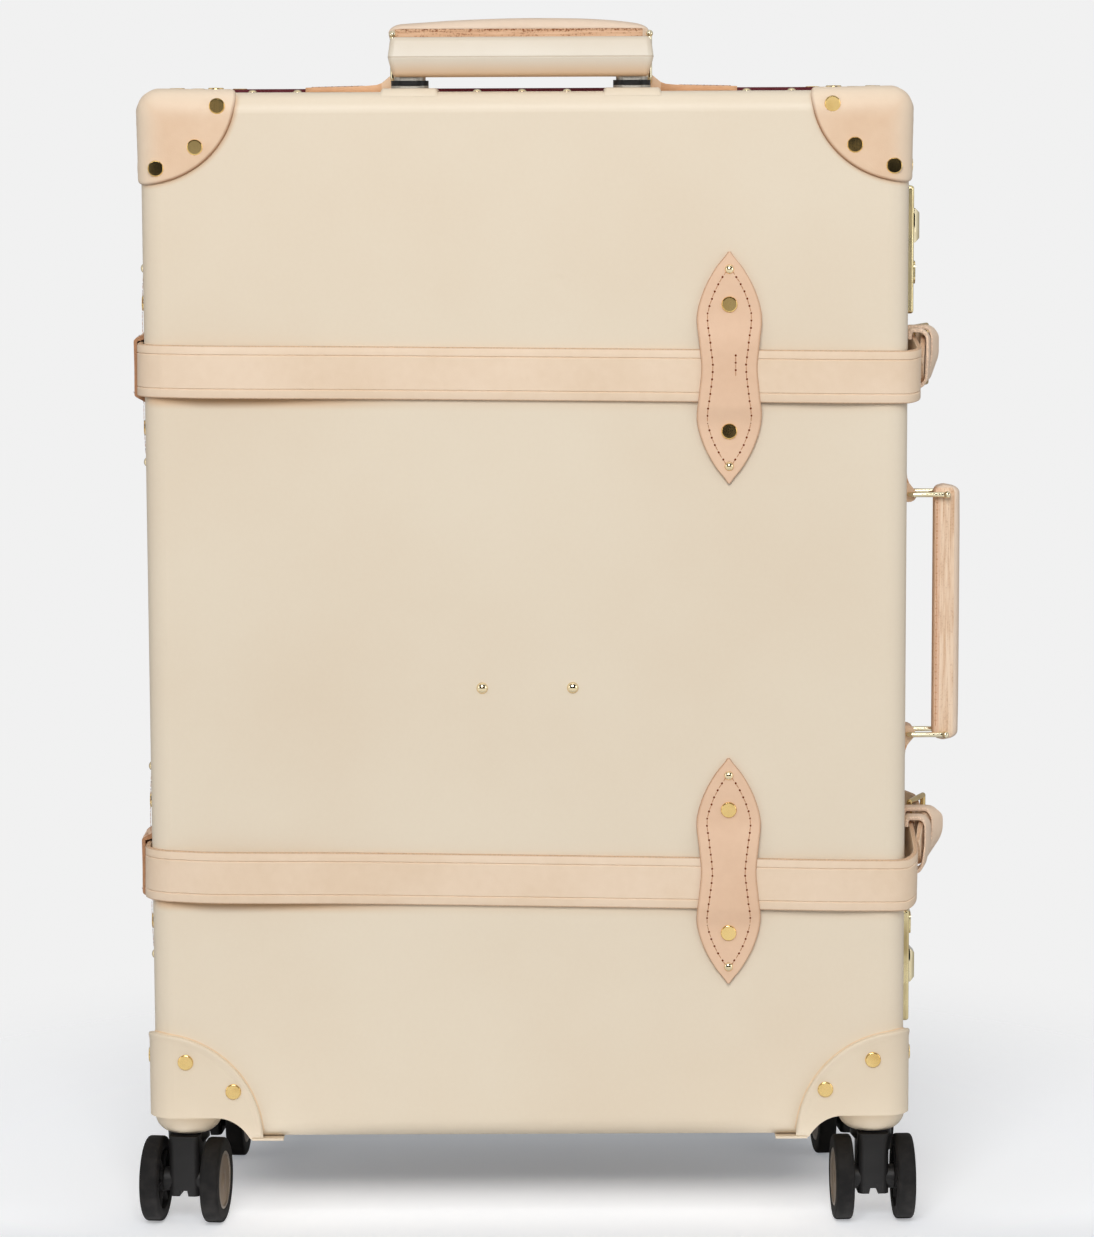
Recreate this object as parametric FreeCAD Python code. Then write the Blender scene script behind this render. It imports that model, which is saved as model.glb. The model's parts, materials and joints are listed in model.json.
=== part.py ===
import FreeCAD, Part
import math
import os

Vector = FreeCAD.Vector
os.makedirs("parts", exist_ok=True)

# Body in millimetres: the front faces -Y, up is +Z, the floor is z = 0, the seam lies at y = 0
body_width = 520.0
body_depth = 270.0
body_height = 721.0
floor_gap = 69.0
edge_radius = 14.0
shell_wall = 3.0
lining_wall = 1.5
half_width = body_width / 2
half_depth = body_depth / 2
bottom = floor_gap
top = floor_gap + body_height
lining_inside = shell_wall + lining_wall

# Rim bands that cap the edges of the two shells, with a lip that centres the far shell
rim_proud = 2.5
rim_depth = 8.0
rim_face = 2.0
lip_gap = 0.7
lip_wall = 2.0
lip_reach = 6.0

# Leather corners at the top and moulded corners at the bottom
cap_wall = 2.0
cap_reach = 67.0
housing_wall = 4.0
housing_reach = 75.0
housing_under = 1.0
arch_rise = 16.0
arch_width = 67.0
arch_depth = 98.0
arch_round = 24.0
arch_wall = 3.0
foot_reach = 89.0
foot_wall = 1.5
foot_depth = 96.0

# Casters: a cup on each moulded corner, a fork that swivels in it and two wheels
caster_inset = 19.0
caster_setback = 54.0
cup_top_radius = 23.5
cup_end_radius = 15.5
cup_drop = 21.5
cup_bowl = 13.5
stem_radius = 5.0
stem_length = 16.0
running_gap = 0.05
thrust_gap = 0.2
trail = 12.0
wheel_radius = 30.0
wheel_width = 13.0
wheel_round = 2.0
wheel_gap = 4.2
hub_radius = 19.0
hub_sink = 1.2
axle_radius = 4.0
boss_radius = 8.5
fork_width = 21.6
fork_length = 30.0
fork_foot = 19.5
fork_notch = 6.6
fork_notch_height = 4.0
fork_neck_radius = 10.5
fork_head_radius = 14.6
fork_head_height = 5.0
fork_flare = 5.0
caster_turns = {"front_left": -7.0, "front_right": 2.0, "back_left": 176.0, "back_right": 185.0}

# Left hinges: the axis stands outside the straps
hinge_out = 7.0
hinge_heights = (175.0, 430.0, 700.0)
hinge_height = 50.0
knuckle_radius = 3.7
knuckle_gap = 0.3
hinge_pin_radius = 1.6
leaf_reach = 30.0
leaf_wall = 1.5

# Straps: each lies in a plane that dips a little to the right, then climbs to the buckle
strap_width = 36.0
strap_wall = 3.2
strap_heights = (599.8, 251.1)
strap_dips = (0.70, 1.03)
strap_left_stand = 3.2
strap_right_stand = 6.3
strap_left_round = 16.0
strap_right_round = 19.0
strap_climb_end = 72.0
seam_slit = 0.3

# Strap tails on the far shell: an arc about the hinge axis, so that it slides out of the buckle
tail_width = 34.0
tail_wall = 3.0
tail_heights = (604.5, 267.0)
tail_dips = (-0.16, -1.21)
tail_end = 88.0
tail_over = 0.8
tail_past_seam = 8.0
tail_land = 62.0

# Buckles, prongs and strap loops on the right side
heel_setback = 32.0
heel_radius = 2.0
heel_wrap = 2.4
heel_out = 11.2
far_bar_setback = 4.0
far_bar_gap = 0.8
rail_gap = 1.0
prong_radius = 1.7
prong_ring = 1.5
prong_slot = 6.0
prong_gap = 0.3
loop_wall = 2.2
loop_width = 13.0
loop_setbacks = (55.5, 79.5)
loop_gap = 1.0
loop_under = 0.1

# Keepers that hold the straps down
keeper_x = 137.8
keeper_heights = (603.5, 257.0)
keeper_half_length = 78.5
keeper_half_width = 22.0
keeper_waist = 19.0
keeper_shoulder = 35.2
keeper_wall = 3.0
keeper_gap = 0.3
keeper_front_tunnel = (14.5, 28.5)
keeper_side_tunnel = (19.5, 21.0)
keeper_far_tunnel = (19.0, 19.0)
keeper_ramp = 8.0
keeper_side_setback = 50.0
keeper_rivet = 43.0
keeper_dome = 66.8

# Rivets and studs, with the places of the rivets measured from each corner of the body
cap_marks = ((53.0, 9.0), (37.7, 36.5), (11.2, 50.6))
side_marks = ((50.6, 24.0), (22.0, 50.0))
housing_marks = ((22.2, 55.5), (55.0, 34.7))
rivet_radius = 5.5
rivet_height = 1.2
dome_radius = 3.2
dome_height = 2.0
stud_radius = 4.0
stud_height = 2.6
stud_half_pitch = 31.0
stud_level = 384.7
rim_pitch = 31.5
rim_shift = -2.4
rim_row = 15.0

# Trolley: fixed sleeves, middle tubes and inner tubes with the bar
trolley_x = -2.7
trolley_setback = 30.0
tube_half_pitch = 75.4
inner_tube = (19.5, 10.5)
middle_tube = (22.2, 13.2)
sleeve_tube = (25.5, 16.5)
inner_wall = 1.2
middle_bore = (20.2, 11.2)
sleeve_bore = (22.9, 13.9)
sleeve_foot = 80.0
sleeve_floor = 2.0
inner_foot = 160.0
collar = (21.5, 12.5)
bezel = (25.5, 17.5)
bezel_height = 3.5
sleeve_rise = 4.0
bracket_over = 22.0
bracket_depth = 14.0
bracket_height = 18.0
pad_width = 38.5
pad_wall = 2.4
pad_depth = 56.0
bar_half_width = 90.0
bar_half_depth = 14.0
bar_under = 9.8
bar_height = 27.0
bar_tenon = 14.0
button_length = 40.0
button_depth = 12.0
button_height = 8.0
button_travel = 4.0
button_gap = 0.35

# Carry handles: leather grips on brass wire rings held by leather chapes
ring_wire = 1.8
ring_half_width = 14.0
ring_corner = 3.0
chape_length = 61.0
chape_width = 21.0
chape_wall = 4.0
chape_eye = 5.5
chape_axis = 6.5
grip_depth = 21.5
open_pivot_gap = 0.35
top_handle_setback = 95.0
top_ring_left = -91.5
top_ring_right = 86.0
top_ring_length = 33.0
top_grip_wall = 17.0
top_grip_over = 3.5
side_handle_setback = 77.0
side_ring_low = 341.5
side_ring_high = 510.5
side_ring_length = 26.0
side_grip_wall = 21.0
side_grip_over = 6.5

# Locks on the right side
lock_lengths = ((635.0, 724.0), (131.0, 211.0))
lock_y = (-46.0, -2.0)
lock_proud = 10.5
knob_levels = (696.0, 168.5)
knob_height = 24.0
knob_depth = 18.0
knob_proud = 5.2
knob_travel = 6.0
stem_half = 3.0
stem_half_length = 6.0
slot_gap = 0.3
hasp_levels = (663.0, 198.5)
hasp_height = 16.0
hasp_wall = 2.2
hasp_reach = 30.0
hasp_axis_y = 10.0
hasp_eye = 3.2
hasp_pin = 1.5
hasp_plate_end = 30.0
hasp_plate_wall = 4.0
hasp_lug = 7.0


def box(x0, x1, y0, y1, z0, z1):
    return Part.makeBox(x1 - x0, y1 - y0, z1 - z0, Vector(x0, y0, z0))


def rod(radius, start, end):
    along = end.sub(start)
    return Part.makeCylinder(radius, along.Length, start, along)


def round_edges(shape, radius, keep):
    chosen = [edge for edge in shape.Edges if keep(edge.CenterOfMass)]
    return shape.makeFillet(radius, chosen)


def round_all(shape, radius):
    return shape.makeFillet(radius, shape.Edges)


def mirror_x(shape):
    return shape.mirror(Vector(0, 0, 0), Vector(1, 0, 0))


def mirror_y(shape):
    return shape.mirror(Vector(0, 0, 0), Vector(0, 1, 0))


def turned(shape, centre, axis, degrees):
    copy = shape.copy()
    copy.rotate(centre, axis, degrees)
    return copy


def moved(shape, x, y, z):
    copy = shape.copy()
    copy.translate(Vector(x, y, z))
    return copy


def fuse(shapes):
    whole = shapes[0]
    for shape in shapes[1:]:
        whole = whole.fuse(shape)
    return whole.removeSplitter()


def solids(shape):
    return list(shape.Solids)


def save(name, shapes):
    found = []
    for shape in shapes:
        found += solids(shape)
    whole = found[0] if len(found) == 1 else Part.makeCompound(found)
    whole.exportStep("parts/" + name + ".step")


def grown_body(grow):
    block = box(-half_width - grow, half_width + grow, -half_depth - grow, half_depth + grow,
                bottom - grow, top + grow)
    return round_all(block, edge_radius + grow)


def frame_block(grow, y0, y1):
    block = box(-half_width - grow, half_width + grow, y0, y1, bottom - grow, top + grow)
    middle = (y0 + y1) / 2
    return round_edges(block, edge_radius + grow,
                       lambda c: abs(c.y - middle) < 0.01 and abs(c.x) > half_width + grow - 0.01
                       and (c.z < bottom - grow + 0.01 or c.z > top + grow - 0.01))


def frame_ring(outer, inner, y0, y1):
    return frame_block(outer, y0, y1).cut(frame_block(inner, y0 - 1, y1 + 1))


def oval(size, x, y, z0, z1):
    width, depth = size
    reach = (width - depth) / 2
    radius = depth / 2
    left = Part.Arc(Vector(x - reach, y + radius, z0), Vector(x - reach - radius, y, z0),
                    Vector(x - reach, y - radius, z0)).toShape()
    right = Part.Arc(Vector(x + reach, y - radius, z0), Vector(x + reach + radius, y, z0),
                     Vector(x + reach, y + radius, z0)).toShape()
    near = Part.makeLine(Vector(x - reach, y - radius, z0), Vector(x + reach, y - radius, z0))
    far = Part.makeLine(Vector(x + reach, y + radius, z0), Vector(x - reach, y + radius, z0))
    return Part.Face(Part.Wire([left, near, right, far])).extrude(Vector(0, 0, z1 - z0))


def side_of(points, radii, offset, z):
    edges = []
    start = None
    count = len(points)
    for i in range(count):
        here = Vector(points[i][0], points[i][1], z)
        before = Vector(points[i - 1][0], points[i - 1][1], z) if i > 0 else None
        after = Vector(points[i + 1][0], points[i + 1][1], z) if i < count - 1 else None
        into = here.sub(before).normalize() if before else None
        out = after.sub(here).normalize() if after else None
        if before is None:
            start = here + Vector(-out.y, out.x, 0) * offset
            continue
        if after is None:
            edges.append((start, None, here + Vector(-into.y, into.x, 0) * offset))
            continue
        sense = 1.0 if into.x * out.y - into.y * out.x > 0 else -1.0
        bend = into.getAngle(out)
        run = radii[i] * math.tan(bend / 2)
        first = here - into * run
        last = here + out * run
        centre = first + Vector(-into.y, into.x, 0) * (sense * radii[i])
        middle = centre + here.sub(centre).normalize() * (radii[i] - sense * offset)
        enter = first + Vector(-into.y, into.x, 0) * offset
        leave = last + Vector(-out.y, out.x, 0) * offset
        if enter.sub(start).Length > 0.001:
            edges.append((start, None, enter))
        edges.append((enter, middle, leave))
        start = leave
    return edges


def strip(points, radii, wall, z0, z1):
    left = side_of(points, radii, wall / 2, z0)
    right = side_of(points, radii, -wall / 2, z0)
    pieces = []
    for start, middle, end in left + right:
        if middle is None:
            pieces.append(Part.makeLine(start, end))
        else:
            pieces.append(Part.Arc(start, middle, end).toShape())
    pieces.append(Part.makeLine(left[0][0], right[0][0]))
    pieces.append(Part.makeLine(left[-1][2], right[-1][2]))
    outline = Part.Wire(Part.__sortEdges__(pieces))
    return Part.Face(outline).extrude(Vector(0, 0, z1 - z0))


def flat_rivet(place, normal):
    head = Part.makeCylinder(rivet_radius, rivet_height, place, normal)
    far = place + normal * rivet_height
    return round_edges(head, 0.4, lambda c: (c - far).Length < 0.01)


def dome(place, normal, radius, height):
    sphere = (radius * radius + height * height) / (2 * height)
    centre = place - normal * (sphere - height)
    start = math.degrees(math.asin((sphere - height) / sphere))
    return Part.makeSphere(sphere, centre, normal, start, 90, 360)


# Shells, linings and rims
near_half = box(-400, 400, -400, -rim_face, 0, 1200)

def arch(grow):
    block = box(-half_width - 15, -half_width + arch_width + grow, -half_depth - 15,
                -half_depth + arch_depth + grow, bottom - 40, bottom + arch_rise + grow)
    inner_x = -half_width + arch_width + grow
    inner_y = -half_depth + arch_depth + grow
    ceiling = bottom + arch_rise + grow
    return round_edges(block, arch_round + grow,
                       lambda c: (abs(c.x - inner_x) < 0.01 and abs(c.y - inner_y) < 0.01)
                       or (abs(c.x - inner_x) < 0.01 and abs(c.z - ceiling) < 0.01)
                       or (abs(c.y - inner_y) < 0.01 and abs(c.z - ceiling) < 0.01))


arch_space = arch(0)
arch_block = arch(arch_wall)
tube_xs = (trolley_x - tube_half_pitch, trolley_x + tube_half_pitch)
trolley_y = -half_depth + trolley_setback
whole_body = grown_body(0)
shell_space = grown_body(-shell_wall)
lining_space = grown_body(-lining_inside)

near_shell = whole_body.cut(shell_space).common(near_half)
near_shell = near_shell.cut(arch_block).cut(mirror_x(arch_block))
near_lining = shell_space.cut(lining_space).common(near_half)
near_lining = near_lining.cut(arch_block).cut(mirror_x(arch_block))
far_shell = mirror_y(near_shell)
far_lining = mirror_y(near_lining)
for x in tube_xs:
    sleeve_hole = oval(sleeve_tube, x, trolley_y, top - 20, top + 20)
    near_shell = near_shell.cut(sleeve_hole)
    near_lining = near_lining.cut(sleeve_hole)

lip_outside = lining_inside + lip_gap
lip_inside = lip_outside + lip_wall
near_rim = fuse([frame_ring(rim_proud, 0, -rim_depth, 0),
                 frame_ring(rim_proud, -lip_inside, -rim_face, 0),
                 frame_ring(-lip_outside, -lip_inside, -rim_face, lip_reach)])
far_rim = fuse([frame_ring(rim_proud, 0, 0, rim_depth),
                frame_ring(rim_proud, -lining_inside, 0, rim_face)])

save("base_shell", [near_shell])
save("base_lining", [near_lining])
save("base_rim", [near_rim])
save("lid_shell", [far_shell])
save("lid_lining", [far_lining])
save("lid_rim", [far_rim])

# Leather corners at the top
near_body_half = box(-400, 400, -400, -rim_depth - 0.5, 0, 1200)
cap_skin = grown_body(cap_wall).cut(whole_body).common(near_body_half)
cap_left = cap_skin.common(Part.makeSphere(cap_reach, Vector(-half_width, -half_depth, top)))
near_caps = [cap_left, mirror_x(cap_left)]
far_caps = [mirror_y(cap) for cap in near_caps]
save("base_corners", near_caps)
save("lid_corners", far_caps)

# Moulded corners at the bottom, with the arch over the caster and the caster cup
caster_x = half_width - caster_inset
caster_y = half_depth - caster_setback
cup_top = bottom + arch_rise
cup_end = cup_top - cup_drop
above_under = box(-400, 400, -400, -rim_depth - 0.5, bottom - housing_under, 600)
housing_outside = grown_body(housing_wall).common(above_under)
skin = housing_outside.cut(whole_body)
skin = skin.common(Part.makeSphere(housing_reach, Vector(-half_width, -half_depth, bottom)))
liner = arch_block.common(housing_outside)
foot = box(-half_width + arch_width, -half_width + foot_reach, -half_depth + 2, -half_depth + foot_depth,
           bottom - foot_wall, bottom)
bowl_z = cup_end + cup_bowl
bowl_middle = Vector(cup_end_radius + 6.3, 0, cup_end + cup_bowl * 0.4)
rim_point = Vector(cup_top_radius, 0, bowl_z)
cup_edges = [Part.makeLine(Vector(0, 0, cup_end), Vector(cup_end_radius, 0, cup_end)),
             Part.Arc(Vector(cup_end_radius, 0, cup_end), bowl_middle, rim_point).toShape(),
             Part.makeLine(rim_point, Vector(cup_top_radius, 0, cup_top + 1.5)),
             Part.makeLine(Vector(cup_top_radius, 0, cup_top + 1.5), Vector(0, 0, cup_top + 1.5)),
             Part.makeLine(Vector(0, 0, cup_top + 1.5), Vector(0, 0, cup_end))]
cup = Part.Face(Part.Wire(cup_edges)).revolve(Vector(0, 0, 0), Vector(0, 0, 1), 360)
cup = moved(cup, -caster_x, -caster_y, 0)
housing_left = fuse([skin, liner, foot]).cut(arch_space)
housing_left = fuse([housing_left, cup])
stem_bore = Part.makeCylinder(stem_radius + running_gap, stem_length + 0.6,
                              Vector(-caster_x, -caster_y, cup_end))
housing_left = housing_left.cut(stem_bore)
near_housings = [housing_left, mirror_x(housing_left)]
save("base_housings", near_housings)
save("lid_housings", [mirror_y(housing) for housing in near_housings])


# Casters
def fork_at_origin():
    head_low = cup_end - thrust_gap - fork_head_height
    head = Part.makeCylinder(fork_head_radius, fork_head_height, Vector(0, 0, head_low))
    flare_low = Vector(0, 0, head_low - fork_flare)
    flare = Part.makeCone(fork_neck_radius, fork_head_radius, fork_flare, flare_low)
    stem = Part.makeCylinder(stem_radius, stem_length + thrust_gap, Vector(0, 0, cup_end - thrust_gap))
    back = fork_length / 2 - trail / 2
    leg = box(-fork_width / 2, fork_width / 2, -trail / 2 - fork_length / 2, back,
              fork_foot, cup_end - thrust_gap - 1)
    leg = round_edges(leg, 4.0, lambda c: abs(c.z - (fork_foot + cup_end - thrust_gap - 1) / 2) < 0.01)
    notch_low = fork_notch / 2
    notch_high = fork_notch / 2 - 1.0
    notch_top = fork_foot + fork_notch_height
    corners = [Vector(-notch_low, -60, fork_foot - 1), Vector(notch_low, -60, fork_foot - 1),
               Vector(notch_high, -60, notch_top), Vector(-notch_high, -60, notch_top)]
    notch = Part.Face(Part.makePolygon(corners + corners[:1])).extrude(Vector(0, 120, 0))
    axle_reach = fork_width / 2 + wheel_gap + wheel_width - hub_sink - 0.5
    axle = rod(axle_radius, Vector(-axle_reach, -trail, wheel_radius),
               Vector(axle_reach, -trail, wheel_radius))
    boss_reach = fork_width / 2 + wheel_gap - 0.3
    boss = rod(boss_radius, Vector(-boss_reach, -trail, wheel_radius),
               Vector(boss_reach, -trail, wheel_radius))
    return fuse([leg, flare, head, boss]).cut(notch).fuse(fuse([stem, axle])).removeSplitter()


def wheel_at_origin(side):
    inner = fork_width / 2 + wheel_gap
    tread = rod(wheel_radius, Vector(inner, -trail, wheel_radius),
                Vector(inner + wheel_width, -trail, wheel_radius))
    tread = round_edges(tread, wheel_round, lambda c: True)
    dish = rod(hub_radius, Vector(inner + wheel_width - hub_sink, -trail, wheel_radius),
               Vector(inner + wheel_width + 5, -trail, wheel_radius))
    bore = rod(axle_radius + running_gap, Vector(inner - 5, -trail, wheel_radius),
               Vector(inner + wheel_width + 5, -trail, wheel_radius))
    wheel = tread.cut(dish).cut(bore)
    return wheel if side > 0 else mirror_x(wheel)


caster_places = {"front_left": (-caster_x, -caster_y), "front_right": (caster_x, -caster_y),
                 "back_left": (-caster_x, caster_y), "back_right": (caster_x, caster_y)}
for place in caster_places:
    x, y = caster_places[place]
    turn = caster_turns[place]
    up = Vector(0, 0, 1)
    fork = moved(turned(fork_at_origin(), Vector(0, 0, 0), up, turn), x, y, 0)
    save("fork_" + place, [fork])
    for side, word in ((-1, "a"), (1, "b")):
        wheel = moved(turned(wheel_at_origin(side), Vector(0, 0, 0), up, turn), x, y, 0)
        save("wheel_" + place + "_" + word, [wheel])

# Hinges on the left side
hinge_x = -half_width - hinge_out
rim_x = -half_width - rim_proud
knuckle_third = hinge_height * 0.28


def leaf(z0, bands):
    plate = box(rim_x - leaf_wall, rim_x, -leaf_reach, -knuckle_radius - 0.8, z0, z0 + hinge_height)
    pad = box(rim_x - leaf_wall, -half_width, -leaf_reach, -rim_depth, z0, z0 + hinge_height)
    pieces = [plate, pad]
    for low, high in bands:
        pieces.append(box(rim_x - leaf_wall, rim_x, -knuckle_radius - 0.8, 0, low, high))
        pieces.append(rod(knuckle_radius, Vector(hinge_x, 0, low), Vector(hinge_x, 0, high)))
    return fuse(pieces)


near_leaves = []
far_leaves = []
for level in hinge_heights:
    z0 = level - hinge_height / 2
    z1 = level + hinge_height / 2
    low_end = z0 + knuckle_third
    high_end = z1 - knuckle_third
    near_bands = ((z0, low_end), (high_end, z1))
    far_bands = ((low_end + knuckle_gap, high_end - knuckle_gap),)
    pin = rod(hinge_pin_radius, Vector(hinge_x, 0, z0), Vector(hinge_x, 0, z1))
    loose_bore = rod(hinge_pin_radius + running_gap, Vector(hinge_x, 0, z0 - 1), Vector(hinge_x, 0, z1 + 1))
    near_leaves.append(fuse([leaf(z0, near_bands), pin]))
    far_leaves.append(mirror_y(leaf(z0, far_bands)).cut(loose_bore))
save("base_hinges", near_leaves)
save("lid_hinges", far_leaves)

# Straps on the near shell: round the left edge, the front and the right edge to the buckle
heel_x = half_width + heel_out
heel_y = -heel_setback
left_x = -half_width - strap_left_stand - strap_wall / 2
right_x = half_width + strap_right_stand + strap_wall / 2
front_y = -half_depth - strap_wall / 2
wrap_radius = heel_radius + running_gap + heel_wrap
climb_start = front_y + strap_right_round
half_strap = strap_width / 2
near_straps = []
right_levels = []
for level, dip, tail_level in zip(strap_heights, strap_dips, tail_heights):
    path = [(left_x, -seam_slit), (left_x, front_y), (right_x, front_y), (right_x, climb_start + 0.5)]
    strap = strip(path, [0, strap_left_round, strap_right_round, 0], strap_wall,
                  level - half_strap, level + half_strap)
    strap = turned(strap, Vector(0, 0, level), Vector(0, 1, 0), dip)
    right_level = level - math.sin(math.radians(dip)) * right_x
    right_levels.append(right_level)
    side_x = right_x - strap_wall / 2
    course = [(climb_start, right_level), (-strap_climb_end, tail_level), (heel_y, tail_level)]
    corners = [Vector(side_x, y, z - half_strap) for y, z in course]
    corners += [Vector(side_x, y, z + half_strap) for y, z in reversed(course)]
    climb = Part.Face(Part.makePolygon(corners + corners[:1])).extrude(Vector(strap_wall, 0, 0))
    wrap = rod(wrap_radius, Vector(heel_x, heel_y, tail_level - half_strap + 1),
               Vector(heel_x, heel_y, tail_level + half_strap - 1))
    hole = rod(heel_radius, Vector(heel_x, heel_y, level - 60), Vector(heel_x, heel_y, level + 60))
    near_straps.append(fuse([strap, climb, wrap]).cut(hole))

# Straps on the far shell: the tail, the right edge, the back and the left edge
tail_inner = math.hypot(half_width + strap_right_stand + strap_wall + tail_over - hinge_x, tail_end)
tail_radius = tail_inner + tail_wall / 2
start_angle = -math.asin(tail_end / tail_radius)
finish_angle = math.asin(tail_past_seam / tail_radius)
middle_angle = (start_angle + finish_angle) / 2
corner_radius = tail_radius / math.cos((finish_angle - start_angle) / 2)
tail_start = (hinge_x + tail_radius * math.cos(start_angle), tail_radius * math.sin(start_angle))
tail_corner = (hinge_x + corner_radius * math.cos(middle_angle), corner_radius * math.sin(middle_angle))
tail_finish = (hinge_x + tail_radius * math.cos(finish_angle), tail_radius * math.sin(finish_angle))
far_right_x = half_width + strap_left_stand + tail_wall / 2
far_left_x = -half_width - strap_left_stand - tail_wall / 2
far_back_y = half_depth + tail_wall / 2
bend_x = tail_finish[0] - math.tan(finish_angle) * 10
far_straps = []
for level, dip in zip(tail_heights, tail_dips):
    low = level - tail_width / 2
    high = level + tail_width / 2
    path = [tail_start, tail_corner, (bend_x, tail_finish[1] + 10), (far_right_x, tail_land),
            (far_right_x, far_back_y), (far_left_x, far_back_y), (far_left_x, seam_slit)]
    radii = [0, tail_radius, 25, 30, strap_left_round, strap_left_round, 0]
    strap = strip(path, radii, tail_wall, low, high)
    pivot = Vector(half_width, 0, level)
    far_straps.append(turned(strap, pivot, Vector(0, 1, 0), dip))

# Buckle frames with their prongs
buckles = []
prongs = []
tail_outer = tail_inner + tail_wall
far_bar_x = hinge_x + math.sqrt(tail_outer ** 2 - far_bar_setback ** 2) + far_bar_gap + heel_radius
for level in tail_heights:
    rail_level = tail_width / 2 + rail_gap + heel_radius
    corners = []
    for sign in (-1, 1):
        heel = Vector(heel_x, heel_y, level + sign * rail_level)
        far = Vector(far_bar_x, -far_bar_setback, level + sign * rail_level)
        corners.append((heel, far))
    pieces = [rod(heel_radius, corners[0][0], corners[1][0]),
              rod(heel_radius, corners[0][1], corners[1][1])]
    for heel, far in corners:
        pieces.append(rod(heel_radius, heel, far))
        pieces.append(Part.makeSphere(heel_radius, heel))
        pieces.append(Part.makeSphere(heel_radius, far))
    buckles.append(fuse(pieces))
    eye_half = prong_slot / 2 - prong_gap
    eye = rod(heel_radius + running_gap + prong_ring, Vector(heel_x, heel_y, level - eye_half),
              Vector(heel_x, heel_y, level + eye_half))
    eye = eye.cut(rod(heel_radius + running_gap, Vector(heel_x, heel_y, level - 60),
                      Vector(heel_x, heel_y, level + 60)))
    root_y = heel_y + 10
    root_x = hinge_x + math.sqrt(tail_outer ** 2 - root_y ** 2) + prong_gap + prong_radius + 0.3
    rest_x = far_bar_x + heel_radius + prong_gap + prong_radius + 0.2
    root = Vector(root_x, root_y, level)
    rest = Vector(rest_x, -far_bar_setback, level)
    tongue = rod(prong_radius, root, rest + rest.sub(root).normalize() * 5)
    prongs.append(Part.makeCompound([eye, tongue]))
slots = [box(heel_x - 6, heel_x + 6, heel_y - 6, heel_y + 8, level - prong_slot / 2, level + prong_slot / 2)
         for level in tail_heights]
near_straps = [strap.cut(slot) for strap, slot in zip(near_straps, slots)]
for i in range(len(near_straps)):
    clear = tail_width / 2 + rail_gap - 0.5
    below = tail_heights[i] - clear
    above = tail_heights[i] + clear
    for z0, z1 in ((below - 60, below), (above, above + 60)):
        spare = box(half_width + 1, heel_x + 20, heel_y - 9, heel_y + 20, z0, z1)
        near_straps[i] = near_straps[i].cut(spare)

# Leather loops round the strap and its tail
loops = []
for right_level, tail_level, strap in zip(right_levels, tail_heights, near_straps):
    slope = (tail_level - right_level) / (-strap_climb_end - climb_start)
    high = tail_level + max(strap_width, tail_width) / 2 + loop_gap
    inside_x = half_width + strap_right_stand - loop_under
    for setback in loop_setbacks:
        near_y = -setback - loop_width / 2
        far_y = -setback + loop_width / 2
        strap_level = tail_level - max(0, -strap_climb_end - near_y) * slope
        low = min(strap_level - half_strap, tail_level - tail_width / 2) - loop_gap
        outside_x = hinge_x + math.sqrt(tail_outer ** 2 - far_y ** 2) + loop_gap
        outer = box(inside_x - loop_wall, outside_x + loop_wall, near_y, far_y,
                    low - loop_wall, high + loop_wall)
        outer = round_edges(outer, 5.0, lambda c: abs(c.y - (near_y + far_y) / 2) < 0.01)
        inner = box(inside_x, outside_x, near_y - 1, far_y + 1, low, high)
        inner = round_edges(inner, 1.2, lambda c: abs(c.y - (near_y + far_y) / 2) < 0.01)
        loops.append(outer.cut(inner).cut(strap))
save("base_straps", near_straps)
save("lid_straps", far_straps)
save("buckle_frames", buckles)
save("prong_upper", [prongs[0]])
save("prong_lower", [prongs[1]])
save("strap_loops", loops)


# Keepers: a pointed leather tab with a waist, raised where the strap runs under it
def keeper(rise, tunnel):
    right = [Vector(0, 0, keeper_half_length),
             Vector(keeper_half_width * 0.436, 0, keeper_half_length * 0.853),
             Vector(keeper_half_width * 0.8, 0, keeper_half_length * 0.662),
             Vector(keeper_half_width, 0, keeper_shoulder),
             Vector((keeper_half_width + keeper_waist) / 2, 0, keeper_shoulder * 0.48),
             Vector(keeper_waist, 0, 0)]
    right += [Vector(mark.x, 0, -mark.z) for mark in reversed(right[:-1])]
    left = [Vector(-mark.x, 0, mark.z) for mark in right]
    right_curve = Part.BSplineCurve()
    right_curve.interpolate(right)
    left_curve = Part.BSplineCurve()
    left_curve.interpolate(left)
    outline = Part.Wire([right_curve.toShape(), left_curve.toShape()])
    tab = Part.Face(outline).extrude(Vector(0, -40, 0))
    up = tunnel[0]
    down = -tunnel[1]
    high = rise + keeper_gap + keeper_wall
    far = keeper_half_length + 1
    profile = [(0, far), (keeper_wall, far), (keeper_wall, up + keeper_ramp), (high, up), (high, down),
               (keeper_wall, down - keeper_ramp), (keeper_wall, -far), (0, -far), (0, down),
               (rise + keeper_gap, down), (rise + keeper_gap, up), (0, up), (0, far)]
    wall = [Vector(-60, -w, v) for w, v in profile]
    return tab.common(Part.Face(Part.makePolygon(wall)).extrude(Vector(120, 0, 0)))


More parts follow.
